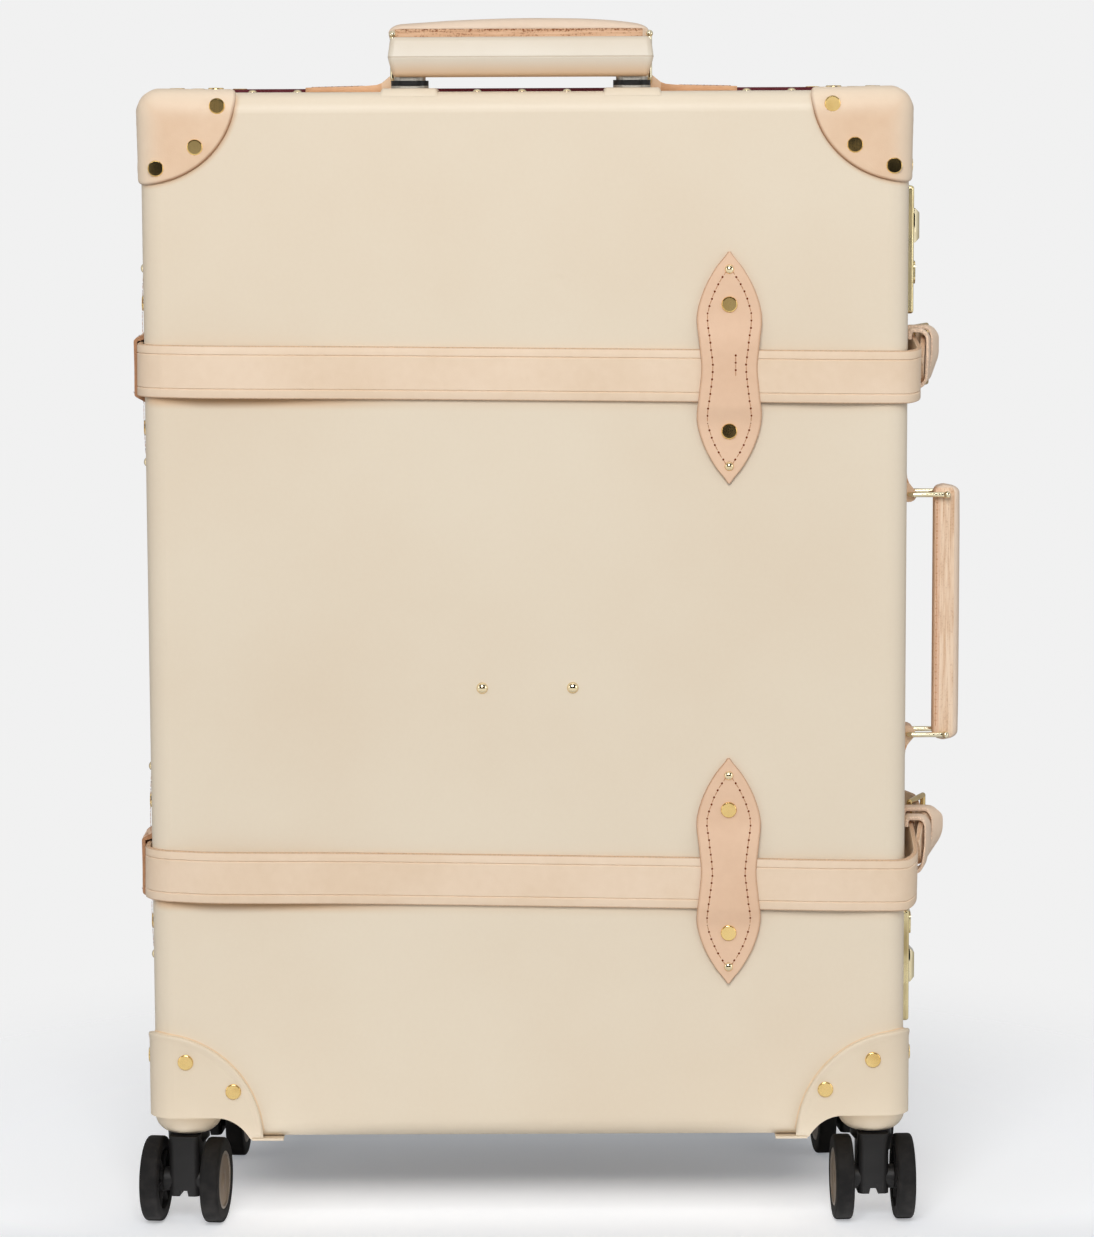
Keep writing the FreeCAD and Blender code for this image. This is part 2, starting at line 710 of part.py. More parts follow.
front_keeper = keeper(strap_wall, keeper_front_tunnel)
far_keeper = mirror_y(keeper(strap_wall, keeper_far_tunnel))
side_keeper = keeper(strap_left_stand + strap_wall, keeper_side_tunnel)
left_keeper = turned(side_keeper, Vector(0, 0, 0), Vector(0, 0, 1), -90)
far_keeper_heights = [level + math.sin(math.radians(dip)) * (half_width - keeper_x)
                      for level, dip in zip(tail_heights, tail_dips)]
near_keepers = []
far_keepers = []
for level, far_level in zip(keeper_heights, far_keeper_heights):
    near_keepers.append(moved(front_keeper, keeper_x, -half_depth, level))
    near_keepers.append(moved(left_keeper, -half_width, -half_depth + keeper_side_setback, level))
    far_keepers.append(moved(far_keeper, keeper_x, half_depth, far_level))
save("base_keepers", near_keepers)
save("lid_keepers", far_keepers)

# Rivets and studs
front_out = Vector(0, -1, 0)
left_out = Vector(-1, 0, 0)
right_out = Vector(1, 0, 0)
upward = Vector(0, 0, 1)
near_rivets = []
shared_rivets = []
for sign in (-1, 1):
    outward = Vector(sign, 0, 0)
    for across, down in cap_marks:
        place = Vector(sign * (half_width - across), -half_depth - cap_wall, top - down)
        shared_rivets.append(flat_rivet(place, front_out))
    for reach, back in side_marks:
        place = Vector(sign * (half_width + cap_wall), -half_depth + back, top - reach)
        shared_rivets.append(flat_rivet(place, outward))
        place = Vector(sign * (half_width - reach), -half_depth + back, top + cap_wall)
        shared_rivets.append(flat_rivet(place, upward))
    for across, rise in housing_marks:
        place = Vector(sign * (half_width - across), -half_depth - housing_wall, bottom + rise)
        shared_rivets.append(flat_rivet(place, front_out))
        place = Vector(sign * (half_width + housing_wall), -half_depth + across, bottom + rise)
        shared_rivets.append(flat_rivet(place, outward))
far_rivets = []
for level, far_level in zip(keeper_heights, far_keeper_heights):
    for v in (-keeper_rivet, keeper_rivet):
        near_rivets.append(flat_rivet(Vector(keeper_x, -half_depth - keeper_wall, level + v), front_out))
        side_place = Vector(-half_width - keeper_wall, -half_depth + keeper_side_setback, level + v)
        near_rivets.append(flat_rivet(side_place, left_out))
        far_place = Vector(keeper_x, half_depth + keeper_wall, far_level + v)
        far_rivets.append(flat_rivet(far_place, Vector(0, 1, 0)))
save("base_rivets", shared_rivets + near_rivets)
save("lid_rivets", [mirror_y(rivet) for rivet in shared_rivets] + far_rivets)

shared_studs = []
near_studs = []
far_studs = []
for level, far_level in zip(keeper_heights, far_keeper_heights):
    for v in (-keeper_dome, keeper_dome):
        place = Vector(keeper_x, -half_depth - keeper_wall, level + v)
        near_studs.append(dome(place, front_out, dome_radius, dome_height))
        place = Vector(-half_width - keeper_wall, -half_depth + keeper_side_setback, level + v)
        near_studs.append(dome(place, left_out, dome_radius, dome_height))
        place = Vector(keeper_x, half_depth + keeper_wall, far_level + v)
        far_studs.append(dome(place, Vector(0, 1, 0), dome_radius, dome_height))
for sign in (-1, 1):
    near_studs.append(dome(Vector(sign * stud_half_pitch, -half_depth, stud_level), front_out,
                           stud_radius, stud_height))
row_reach = int((half_width - cap_reach) / rim_pitch)
for k in range(-row_reach, row_reach + 1):
    x = rim_shift + k * rim_pitch
    shared_studs.append(dome(Vector(x, -rim_row, top), upward, dome_radius, dome_height))
    shared_studs.append(dome(Vector(x, -rim_row, bottom), Vector(0, 0, -1), dome_radius, dome_height))
side_middle = (top + bottom) / 2
side_row = int((body_height / 2 - housing_reach) / rim_pitch)
strap_bands = [(level - 45, level + 45) for level in strap_heights]
hinge_bands = [(level - hinge_height / 2 - 6, level + hinge_height / 2 + 6) for level in hinge_heights]
lock_bands = [(low - 6, high + 6) for low, high in lock_lengths]
for k in range(-side_row, side_row + 1):
    z = side_middle + k * rim_pitch
    if not any(low < z < high for low, high in strap_bands + hinge_bands):
        shared_studs.append(dome(Vector(-half_width, -rim_row, z), left_out, dome_radius, dome_height))
    if not any(low < z < high for low, high in strap_bands + lock_bands):
        shared_studs.append(dome(Vector(half_width, -rim_row, z), right_out, dome_radius, dome_height))
for level in hinge_heights:
    for v in (-hinge_height * 0.3, hinge_height * 0.3):
        place = Vector(rim_x - leaf_wall, -leaf_reach * 0.65, level + v)
        shared_studs.append(dome(place, left_out, dome_radius, dome_height * 0.7))
save("base_studs", shared_studs + near_studs)
save("lid_studs", [mirror_y(stud) for stud in shared_studs] + far_studs)

# Trolley: sleeves with a bracket at the foot, bezels on ivory pads, two telescopic stages and the bar
sleeve_top = top + sleeve_rise
bezel_top = sleeve_top + bezel_height
bar_low = top + bar_under
bar_high = bar_low + bar_height
bar_part = bar_low + bar_height / 2
middle_foot = sleeve_foot + sleeve_floor
middle_top = bezel_top - 0.6
sleeves = []
bezels = []
pads = []
middles = []
inners = []
bracket_low = bottom + lining_inside
bracket = box(tube_xs[0] - bracket_over, tube_xs[1] + bracket_over, -half_depth + lining_inside,
              trolley_y + bracket_depth, bracket_low, bracket_low + bracket_height).common(lining_space)
pad_skin = grown_body(pad_wall).cut(whole_body)
for x in tube_xs:
    sleeve = oval(sleeve_tube, x, trolley_y, sleeve_foot, sleeve_top)
    sleeve = sleeve.cut(oval(sleeve_bore, x, trolley_y, middle_foot, sleeve_top + 1))
    sleeves.append(sleeve)
    bracket = bracket.cut(oval(sleeve_tube, x, trolley_y, sleeve_foot, sleeve_top))
    ring = oval(bezel, x, trolley_y, sleeve_top, bezel_top)
    bezels.append(ring.cut(oval(sleeve_bore, x, trolley_y, sleeve_top - 1, bezel_top + 1)))
    pad = pad_skin.common(box(x - pad_width / 2, x + pad_width / 2, -half_depth - 1,
                              -half_depth + pad_depth, top - 3, top + 20))
    pads.append(pad.cut(oval(sleeve_tube, x, trolley_y, top - 20, top + 20)))
    middle = oval(middle_tube, x, trolley_y, middle_foot, middle_top)
    middles.append(middle.cut(oval(middle_bore, x, trolley_y, middle_foot - 1, bezel_top + 1)))
    inner = oval(inner_tube, x, trolley_y, inner_foot, bar_low + bar_tenon)
    hollow = (inner_tube[0] - 2 * inner_wall, inner_tube[1] - 2 * inner_wall)
    inner = inner.cut(oval(hollow, x, trolley_y, inner_foot - 1, bar_low + bar_tenon - 3))
    ferrule = oval(collar, x, trolley_y, middle_top, bar_low)
    ferrule = ferrule.cut(oval(hollow, x, trolley_y, middle_top - 1, bar_low + 1))
    inners.append(fuse([inner, ferrule]))
save("trolley_sleeves", sleeves)
save("trolley_bracket", [bracket])
save("trolley_bezels", bezels)
save("trolley_pads", pads)
save("trolley_middle_tubes", middles)
save("trolley_inner_tubes", inners)

top_half_width = bar_half_width - 1.8
low_half_width = bar_half_width - 3.4
front_outline = [(-top_half_width, bar_high), (-bar_half_width, bar_part), (-low_half_width, bar_low),
                 (low_half_width, bar_low), (bar_half_width, bar_part), (top_half_width, bar_high)]
corners = [Vector(trolley_x + x, trolley_y - 40, z) for x, z in front_outline]
bar = Part.Face(Part.makePolygon(corners + corners[:1])).extrude(Vector(0, 80, 0))
top_half_depth = bar_half_depth - 2.5
low_half_depth = bar_half_depth - 3
side_outline = [(-top_half_depth, bar_high), (-bar_half_depth, bar_part), (-low_half_depth, bar_low),
                (low_half_depth, bar_low), (bar_half_depth, bar_part), (top_half_depth, bar_high)]
corners = [Vector(trolley_x - 150, trolley_y + y, z) for y, z in side_outline]
bar = bar.common(Part.Face(Part.makePolygon(corners + corners[:1])).extrude(Vector(300, 0, 0)))
bar = round_edges(bar, 4.0, lambda c: abs(c.z - bar_part) > 0.5)
button_low = bar_high - button_height
pocket_size = (button_length + 2 * button_gap, button_depth + 2 * button_gap)
bar = bar.cut(oval(pocket_size, trolley_x, trolley_y, button_low - button_travel - 0.5, bar_high + 5))
for x in tube_xs:
    bar = bar.cut(oval(inner_tube, x, trolley_y, bar_low - 1, bar_low + bar_tenon))
button = oval((button_length, button_depth), trolley_x, trolley_y, button_low, bar_high)
save("trolley_bar", [bar])
save("trolley_button", [button])


# Carry handles
def wire_ring(length):
    half = ring_half_width
    bend = ring_corner
    up = Vector(0, 0, 1)
    pieces = [rod(ring_wire, Vector(0, -half + bend, 0), Vector(0, half - bend, 0)),
              rod(ring_wire, Vector(0, -half + bend, length), Vector(0, half - bend, length)),
              rod(ring_wire, Vector(0, -half, bend), Vector(0, -half, length - bend)),
              rod(ring_wire, Vector(0, half, bend), Vector(0, half, length - bend))]
    for y, z, turn in ((-half + bend, bend, 180), (half - bend, bend, 270), (half - bend, length - bend, 0),
                       (-half + bend, length - bend, 90)):
        circle = Part.Face(Part.Wire(Part.makeCircle(ring_wire, Vector(0, y + bend, z), up)))
        bow = circle.revolve(Vector(0, y, z), Vector(1, 0, 0), 90)
        pieces.append(turned(bow, Vector(0, y, z), Vector(1, 0, 0), turn))
    return fuse(pieces)


def chape():
    half = chape_width / 2
    strap = box(0, chape_length, -half, half, 0, chape_wall)
    strap = round_edges(strap, 7.0, lambda c: c.x > chape_length - 0.01 and abs(abs(c.y) - half) < 0.01)
    eye = rod(chape_eye, Vector(0, -half, chape_axis), Vector(0, half, chape_axis))
    web = box(0, chape_eye * 0.8, -half, half, 0, chape_axis)
    bore = rod(ring_wire + running_gap, Vector(0, -half - 1, chape_axis), Vector(0, half + 1, chape_axis))
    return fuse([strap, eye, web]).cut(bore)


def grip(wall, low, high, far_low, far_high):
    block = box(-wall / 2, wall / 2, -grip_depth / 2, grip_depth / 2, low, high)
    block = round_edges(block, 4.0, lambda c: abs(abs(c.x) - wall / 2) < 0.01 or abs(c.z - low) < 0.01
                        or abs(c.z - high) < 0.01)
    near_hole = rod(ring_wire + running_gap, Vector(0, -30, far_low), Vector(0, 30, far_low))
    open_hole = rod(ring_wire + open_pivot_gap, Vector(0, -30, far_high), Vector(0, 30, far_high))
    return block.cut(near_hole).cut(open_hole)


across = Vector(0, 1, 0)
zero = Vector(0, 0, 0)
top_handle_y = -half_depth + top_handle_setback
side_handle_y = -half_depth + side_handle_setback
plain_chape = chape()
left_chape = moved(turned(plain_chape, zero, Vector(0, 0, 1), 180), top_ring_left, top_handle_y, top)
right_chape = moved(plain_chape, top_ring_right, top_handle_y, top)
down_chape = turned(plain_chape, zero, across, 90)
low_chape = moved(down_chape, half_width, side_handle_y, side_ring_low)
up_chape = down_chape.mirror(zero, Vector(0, 0, 1))
high_chape = moved(up_chape, half_width, side_handle_y, side_ring_high)
save("handle_chapes", [left_chape, right_chape, low_chape, high_chape])

top_axis_z = top + chape_axis
top_ring = wire_ring(top_ring_length)
save("top_ring_left", [moved(top_ring, top_ring_left, top_handle_y, top_axis_z)])
save("top_ring_right", [moved(top_ring, top_ring_right, top_handle_y, top_axis_z)])
top_grip = grip(top_grip_wall, top_ring_left - top_grip_over, top_ring_right + top_grip_over,
                top_ring_left, top_ring_right)
top_grip = turned(top_grip, zero, across, 90)
top_grip = moved(top_grip, 0, top_handle_y, top_axis_z + top_ring_length)
save("top_grip", [top_grip])

side_axis_x = half_width + chape_axis
side_ring = turned(wire_ring(side_ring_length), zero, across, 90)
save("side_ring_low", [moved(side_ring, side_axis_x, side_handle_y, side_ring_low)])
save("side_ring_high", [moved(side_ring, side_axis_x, side_handle_y, side_ring_high)])
side_grip = grip(side_grip_wall, side_ring_low - side_grip_over, side_ring_high + side_grip_over,
                 side_ring_low, side_ring_high)
save("side_grip", [moved(side_grip, side_axis_x + side_ring_length, side_handle_y, 0)])

# Locks: body with a sliding knob on the near shell, hinged hasp on the far shell
lock_face = half_width + lock_proud
lock_middle = (lock_y[0] + lock_y[1]) / 2
rim_groove = box(half_width - rim_depth, half_width + rim_proud, -rim_depth, rim_depth, bottom, top)
lock_bodies = []
hasp_mounts = []
knobs = []
hasps = []
hasp_axis_x = lock_face + 0.3 + hasp_wall - hasp_eye
for (low, high), knob_level, hasp_level, sense in zip(lock_lengths, knob_levels, hasp_levels, (-1, 1)):
    body = box(half_width, lock_face, lock_y[0], lock_y[1], low, high)
    body = round_edges(body, 2.0, lambda c: c.x > half_width + 0.5)
    reach = stem_half_length + slot_gap
    slot_low = knob_level - reach - (knob_travel if sense < 0 else 0)
    slot_high = knob_level + reach + (knob_travel if sense > 0 else 0)
    slot = box(lock_face - 5.5, lock_face + 5, lock_middle - stem_half - slot_gap,
               lock_middle + stem_half + slot_gap, slot_low, slot_high)
    lock_bodies.append(body.cut(rim_groove).cut(slot))
    head = box(lock_face, lock_face + knob_proud, lock_middle - knob_depth / 2,
               lock_middle + knob_depth / 2, knob_level - knob_height / 2, knob_level + knob_height / 2)
    head = round_edges(head, 1.6, lambda c: c.x > lock_face + 0.5)
    stem = box(lock_face - 5.0, lock_face + 1, lock_middle - stem_half, lock_middle + stem_half,
               knob_level - stem_half_length, knob_level + stem_half_length)
    knobs.append(fuse([head, stem]))
    half = hasp_height / 2
    eye = rod(hasp_eye, Vector(hasp_axis_x, hasp_axis_y, hasp_level - half),
              Vector(hasp_axis_x, hasp_axis_y, hasp_level + half))
    arm = box(lock_face + 0.3, lock_face + 0.3 + hasp_wall, -hasp_reach, hasp_axis_y,
              hasp_level - half, hasp_level + half)
    arm = round_edges(arm, 5.0, lambda c: c.y < -hasp_reach + 0.01
                      and abs(abs(c.z - hasp_level) - half) < 0.01)
    loose_bore = rod(hasp_pin + running_gap, Vector(hasp_axis_x, hasp_axis_y, hasp_level - 60),
                     Vector(hasp_axis_x, hasp_axis_y, hasp_level + 60))
    hasps.append(fuse([eye, arm]).cut(loose_bore))
    mount_half = half + hasp_lug
    pieces = [box(half_width, half_width + hasp_plate_wall, rim_face, hasp_plate_end,
                  hasp_level - mount_half, hasp_level + mount_half)]
    for side in (-1, 1):
        near = hasp_level + side * (half + 0.3)
        far = hasp_level + side * mount_half
        lug_low = min(near, far)
        lug_high = max(near, far)
        pieces.append(rod(hasp_eye, Vector(hasp_axis_x, hasp_axis_y, lug_low),
                          Vector(hasp_axis_x, hasp_axis_y, lug_high)))
        pieces.append(box(half_width + rim_proud, hasp_axis_x, hasp_axis_y - hasp_eye,
                          hasp_axis_y + hasp_eye, lug_low, lug_high))
    pieces.append(rod(hasp_pin, Vector(hasp_axis_x, hasp_axis_y, hasp_level - mount_half),
                      Vector(hasp_axis_x, hasp_axis_y, hasp_level + mount_half)))
    hasp_mounts.append(fuse(pieces).cut(rim_groove))
save("lock_bodies", lock_bodies)
save("hasp_mounts", hasp_mounts)
save("knob_upper", [knobs[0]])
save("knob_lower", [knobs[1]])
save("hasp_upper", [hasps[0]])
save("hasp_lower", [hasps[1]])
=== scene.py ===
import bmesh
import bpy
import json
import random
from bmesh.types import BMEdge, BMVert
from math import asin, atan, atan2, copysign, cos, exp, hypot, pi, radians, sin, sqrt, tan
from mathutils import Matrix, Vector
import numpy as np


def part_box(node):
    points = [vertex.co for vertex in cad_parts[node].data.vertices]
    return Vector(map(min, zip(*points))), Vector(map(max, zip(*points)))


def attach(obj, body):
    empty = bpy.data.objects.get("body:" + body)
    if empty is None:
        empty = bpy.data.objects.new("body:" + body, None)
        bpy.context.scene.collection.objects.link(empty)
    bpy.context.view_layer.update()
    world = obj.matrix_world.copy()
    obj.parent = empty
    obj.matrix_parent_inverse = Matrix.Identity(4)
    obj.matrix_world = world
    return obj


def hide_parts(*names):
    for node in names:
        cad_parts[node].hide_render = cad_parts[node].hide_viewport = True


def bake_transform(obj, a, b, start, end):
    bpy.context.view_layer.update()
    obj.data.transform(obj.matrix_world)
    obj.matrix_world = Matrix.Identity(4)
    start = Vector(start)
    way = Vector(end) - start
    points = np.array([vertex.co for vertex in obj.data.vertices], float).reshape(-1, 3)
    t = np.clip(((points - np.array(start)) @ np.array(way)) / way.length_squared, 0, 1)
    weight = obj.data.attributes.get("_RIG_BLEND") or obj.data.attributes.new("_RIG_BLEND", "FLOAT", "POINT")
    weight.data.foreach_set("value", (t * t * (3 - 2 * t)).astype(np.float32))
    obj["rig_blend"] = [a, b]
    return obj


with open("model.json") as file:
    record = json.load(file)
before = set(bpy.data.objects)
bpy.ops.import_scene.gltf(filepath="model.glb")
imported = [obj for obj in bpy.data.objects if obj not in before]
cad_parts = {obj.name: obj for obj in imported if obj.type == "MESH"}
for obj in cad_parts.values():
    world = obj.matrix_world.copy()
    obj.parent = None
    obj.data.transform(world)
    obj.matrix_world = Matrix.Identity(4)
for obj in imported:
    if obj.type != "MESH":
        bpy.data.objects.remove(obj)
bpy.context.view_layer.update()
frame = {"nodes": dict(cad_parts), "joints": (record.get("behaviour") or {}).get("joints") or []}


# Shells: two deep trays of pressed fibre board under an ivory coated cloth with a very fine grain.
# The edges are rounded over in the press, and the front has two faint round dents.
# A brown shade is painted on the front round the leather corners and in a band under each strap, strongest
# near the left.
class Wire:
    """A value on its way through the nodes of a finish."""

    def __init__(self, nodes, socket):
        self.nodes, self.socket = nodes, socket

    def work(self, operation, *values):
        return self.nodes.node("Math", {"operation": operation}, dict(enumerate(values)))

    def __add__(self, other):
        return self.work("ADD", self, other)

    __radd__ = __add__

    def __sub__(self, other):
        return self.work("SUBTRACT", self, other)

    def __rsub__(self, other):
        return self.work("SUBTRACT", other, self)

    def __mul__(self, other):
        return self.work("MULTIPLY", self, other)

    __rmul__ = __mul__

    def __abs__(self):
        return self.work("ABSOLUTE", self)


class Nodes:
    """Shader nodes that work from one kind of coordinates."""

    def __init__(self, tree, coordinates):
        self.tree = tree
        self.place = self.node("TexCoord", output=coordinates)

    def join(self, socket, value):
        if isinstance(value, Wire):
            self.tree.links.new(value.socket, socket)
        else:
            socket.default_value = value

    def node(self, kind, settings=(), inputs=(), output=0):
        node = self.tree.nodes.new("ShaderNode" + kind)
        for key, value in dict(settings).items():
            setattr(node, key, value)
        for key, value in dict(inputs).items():
            self.join(node.inputs[key], value)
        return Wire(self, node.outputs[output])

    def noise(self, scale, detail, stretch=(1, 1, 1)):
        place = self.node("Mapping", {}, {"Vector": self.place, "Scale": stretch})
        return self.node("TexNoise", {}, {"Vector": place, "Scale": scale, "Detail": detail})

    def fade(self, value, low, high):
        return self.node("MapRange", {"interpolation_type": "SMOOTHSTEP"},
                         {"Value": value, "From Min": low, "From Max": high})

    def mix(self, factor, first, second):
        ends = [end if isinstance(end, Wire) else (*end, 1) for end in (first, second)]
        return self.node("Mix", {"data_type": "RGBA"}, {0: factor, 6: ends[0], 7: ends[1]}, 2)

    def bump(self, height, depth):
        return self.node("Bump", {}, {"Height": height, "Distance": depth, "Strength": 1.0})

    def along(self, axis):
        return self.node("SeparateXYZ", {}, {0: self.place}, axis)

    def away_from(self, point):
        return self.node("VectorMath", {"operation": "DISTANCE"}, {0: self.place, 1: point}, "Value")


class Finish(Nodes):
    """A surface finish: one principled shader and the nodes that vary it."""

    def __init__(self, name, colour, shine=0.5, **values):
        self.material = bpy.data.materials.new(name)
        self.material.use_nodes = True
        self.material.diffuse_color = (*colour, 1)
        super().__init__(self.material.node_tree, "Object")
        self.shader = self.tree.nodes["Principled BSDF"]
        self.set(Base_Color=(*colour, 1), Specular_IOR_Level=shine, **values)

    def set(self, **values):
        for key, value in values.items():
            self.join(self.shader.inputs[key.replace("_", " ")], value)


def rgb(red, green, blue):
    return tuple(((part / 255 + 0.055) / 1.055) ** 2.4 for part in (red, green, blue))


def dress(finish, *nodes):
    for node in nodes:
        for slot in frame["nodes"][node].material_slots:
            slot.material = finish.material


board = Finish("ivory_board", rgb(229, 214, 191), shine=0.4)
cloud = board.fade(board.noise(5, 4), 0.3, 0.72)
fleck, grain, low_grain = board.noise(340, 2), board.noise(1500, 2), board.noise(120, 3)
dent_places, dent_floor, dent_edge = ((0.022, -0.135, 0.663), (0.002, -0.135, 0.298)), 0.0015, 0.0055
dent_high, dent_low = [1 - board.fade(board.away_from(place), dent_floor, dent_edge) for place in dent_places]
clean = board.mix(cloud * 0.8 + (fleck - 0.5) * 0.35, rgb(231, 217, 195), rgb(226, 209, 185))
on_front = board.fade(0 - board.along("Y"), 0.124, 0.134)
# Painted shadow: brown shade on the front round the corner leathers and below the straps' lower edges.
corner_x, corner_z, corner_squash, corner_leather, shadow_edge = 0.26, 0.79, 1.06, 0.0650, 0.0695
to_corner = board.node("CombineXYZ", {}, {
    0: abs(board.along("X")) - corner_x, 2: (board.along("Z") - corner_z) * corner_squash})
from_corner = board.node("VectorMath", {"operation": "LENGTH"}, {0: to_corner}, "Value")
painted_shadow = (1 - board.fade(from_corner, corner_leather, shadow_edge)) * 0.62
towards_left = 1 - board.fade(abs(board.along("X") + 0.2), 0.01, 0.15)
for strap_edge, strap_slope in ((0.5818, 0.0122), (0.2331, 0.018)):
    above = board.along("Z") + board.along("X") * strap_slope - strap_edge
    band = board.fade(above, -0.0085, -0.001) * (1 - board.fade(above, 0.004, 0.008))
    painted_shadow = painted_shadow + band * (towards_left * 0.75 + 0.12)
board.set(Base_Color=board.mix(painted_shadow * on_front, clean, rgb(210, 166, 118)),
          Roughness=0.4 + cloud * 0.06 + (grain - 0.5) * 0.1,
          Normal=board.bump(grain * 0.25 + low_grain * 0.25 - (dent_high + dent_low) * 1.6, 0.00012))
dress(board, "base_shell", "lid_shell")

# Linings: a burgundy plain-weave cloth glued to the inside of both shells.
# Its threads are about a millimetre apart and a little uneven in colour.
lining = Finish("woven_lining", rgb(104, 30, 42), Roughness=0.85, Sheen_Weight=0.3)
thread_scale, thread_wander = 280.0, 0.4
warp, weft, filling = [lining.node("TexWave", {"bands_direction": way}, {
    "Vector": lining.place, "Scale": thread_scale, "Distortion": thread_wander}) for way in "XZY"]
weave = (warp + weft + filling) * 0.33
slub = lining.noise(60, 3, (1, 1, 0.1))
lining.set(Base_Color=lining.mix(weave * 0.5 + slub * 0.5, rgb(72, 18, 28), rgb(128, 42, 54)),
           Normal=lining.bump(weave, 0.0003))
dress(lining, "base_lining", "lid_lining")


# Rims: glossy burgundy bands of lacquered aluminium that cap the board where the shells meet.
# The lacquer has a light orange-peel skin and picks up fine rubs along the band.
def mottled(name, pale, deep, blotch, rough, swing=0, grain=None, **values):
    finish = Finish(name, pale, **values)
    blotches = finish.noise(*blotch)
    finish.set(Base_Color=finish.mix(blotches, pale, deep),
               Roughness=rough + blotches * swing if swing else rough)
    if grain:
        scale, detail, depth = grain
        finish.set(Normal=finish.bump(finish.noise(scale, detail), depth))
    return finish


lacquer = mottled("burgundy_lacquer", rgb(76, 18, 26), rgb(98, 30, 42), (90, 4),
                  0.18, 0.14, (450, 2, 0.00004), shine=0.3)
dress(lacquer, "base_rim", "lid_rim")

# Leather corners: one piece of vegetable-tanned hide moulded wet over each top corner of the shells.
# The cut edge is burnished dark, and flat rivets hold it down.
halves = (("base", -1), ("lid", 1))
half_width, half_depth, half_height, edge_round = 260.0, 135.0, 360.5, 14.0
body_middle, full_turn = Vector((0, 0, 429.5)), 2 * pi
cut_edge = rgb(182, 132, 96)


def leather(name, face, shadow, raw, grain_depth=0.00008):
    finish = Finish(name, face, shine=0.35)
    cloud = finish.fade(finish.noise(14, 5), 0.3, 0.72)
    mottle, fibre = finish.noise(150, 4), finish.noise(900, 4)
    pores = finish.node("TexVoronoi", {}, {"Vector": finish.place, "Scale": 1100.0})
    edge = finish.node("Attribute", {"attribute_name": "raw_edge"}, {}, "Fac")
    skin = finish.mix(cloud * 0.55 + (mottle - 0.5) * 0.6 + 0.12, face, shadow)
    fibres = finish.mix(finish.fade(fibre, 0.35, 0.65), raw, [part * 0.72 for part in raw])
    finish.colour = finish.mix(edge, skin, fibres)
    finish.set(Base_Color=finish.colour, Roughness=0.46 + mottle * 0.14 + edge * 0.2,
               Normal=finish.bump(pores * 0.5 + mottle * 0.5 + edge * fibre * 1.5, grain_depth))
    return finish


def face_out(bm):
    bmesh.ops.recalc_face_normals(bm, faces=bm.faces)


def lathe(profile, steps, angle=full_turn):
    bm = bmesh.new()
    marks = [bm.verts.new((radius, 0, height)) for radius, height in profile]
    edges = [bm.edges.new(pair) for pair in zip(marks, marks[1:])]
    bmesh.ops.spin(bm, geom=marks + edges, cent=(0, 0, 0), axis=(0, 0, 1), angle=angle, steps=steps,
                   use_merge=angle == full_turn)
    bmesh.ops.remove_doubles(bm, verts=bm.verts, dist=1e-5)
    face_out(bm)
    return bm


def over_body(point, stand):
    local = point - body_middle
    reach = Vector((half_width, half_depth, half_height)) - Vector((edge_round,) * 3)
    core = Vector([max(-limit, min(limit, part)) for part, limit in zip(local, reach)])
    return body_middle + core + (local - core).normalized() * (edge_round + stand)


def lay_on_corner(bm, across, back, rise, tall=1.0, wide=1.0):
    corner = body_middle + Vector((across * half_width, back * half_depth, rise * half_height))
    edges = [Vector((-across * wide, 0, 0)), Vector((0, 0, -rise * tall)), Vector((0, -back, 0))]
    for vert in bm.verts:
        reach = hypot(vert.co.x, vert.co.y)
        angle = atan2(vert.co.y, vert.co.x) % full_turn * 0.75
        face = min(2, int(angle / (pi / 2)))
        turn = angle - face * pi / 2
        way = edges[face] * cos(turn) + edges[(face + 1) % 3] * sin(turn)
        vert.co = over_body(corner + way * reach, vert.co.z)
    face_out(bm)


def hide_mesh():
    bm = bmesh.new()
    bm.verts.layers.float.new("raw_edge")
    return bm


def put(bm, part, matrix=Matrix()):
    mesh = bpy.data.meshes.new("part")
    part.to_mesh(mesh)
    mesh.transform(matrix)
    bm.from_mesh(mesh)
    bpy.data.meshes.remove(mesh)


def set_down(name, bm, finishes):
    mesh = bpy.data.meshes.new(name)
    bm.to_mesh(mesh)
    bm.free()
    for finish in finishes:
        mesh.materials.append(finish.material)
    thing = bpy.data.objects.new(name, mesh)
    bpy.context.scene.collection.objects.link(thing)
    return thing


def make_piece(name, bm, finishes, body, replaced=(), crease=40):
    bmesh.ops.scale(bm, vec=(0.001, 0.001, 0.001), verts=bm.verts)
    piece = set_down(name, bm, finishes)
    piece.data.shade_smooth()
    piece.data.set_sharp_from_angle(angle=radians(crease))
    if body:
        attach(piece, body)
    if replaced:
        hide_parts(*replaced)
    return piece


corner_hide = leather("corner_hide", rgb(233, 203, 173), rgb(222, 187, 154), cut_edge)
# Painted highlight: the hide is painted paler on its rounding towards the side and the top.
to_side = corner_hide.fade(abs(corner_hide.along("X")), 0.240, 0.264)
to_top = corner_hide.fade(corner_hide.along("Z"), 0.768, 0.793)
painted_sheen = to_side.work("MAXIMUM", to_side, to_top)
corner_hide.set(Base_Color=corner_hide.mix(painted_sheen * 0.6, corner_hide.colour, rgb(240, 227, 206)))
corner_profile = [(0, 3.1), (6, 3.1), (12, 3.1), (18, 3.05), (25, 2.9), (33, 2.7), (41, 2.5), (49, 2.4),
                  (56, 2.4), (60.5, 2.4), (62.4, 2.36), (63.4, 2.25), (64.4, 2), (65.1, 1.5), (65.5, 0.8),
                  (65.5, 0), (60, -0.3)]
burnish_start, burnish_run, corner_tall, corner_wide = 63.5, 1.7, 0.945, {-1: 1.0, 1: 1.028}
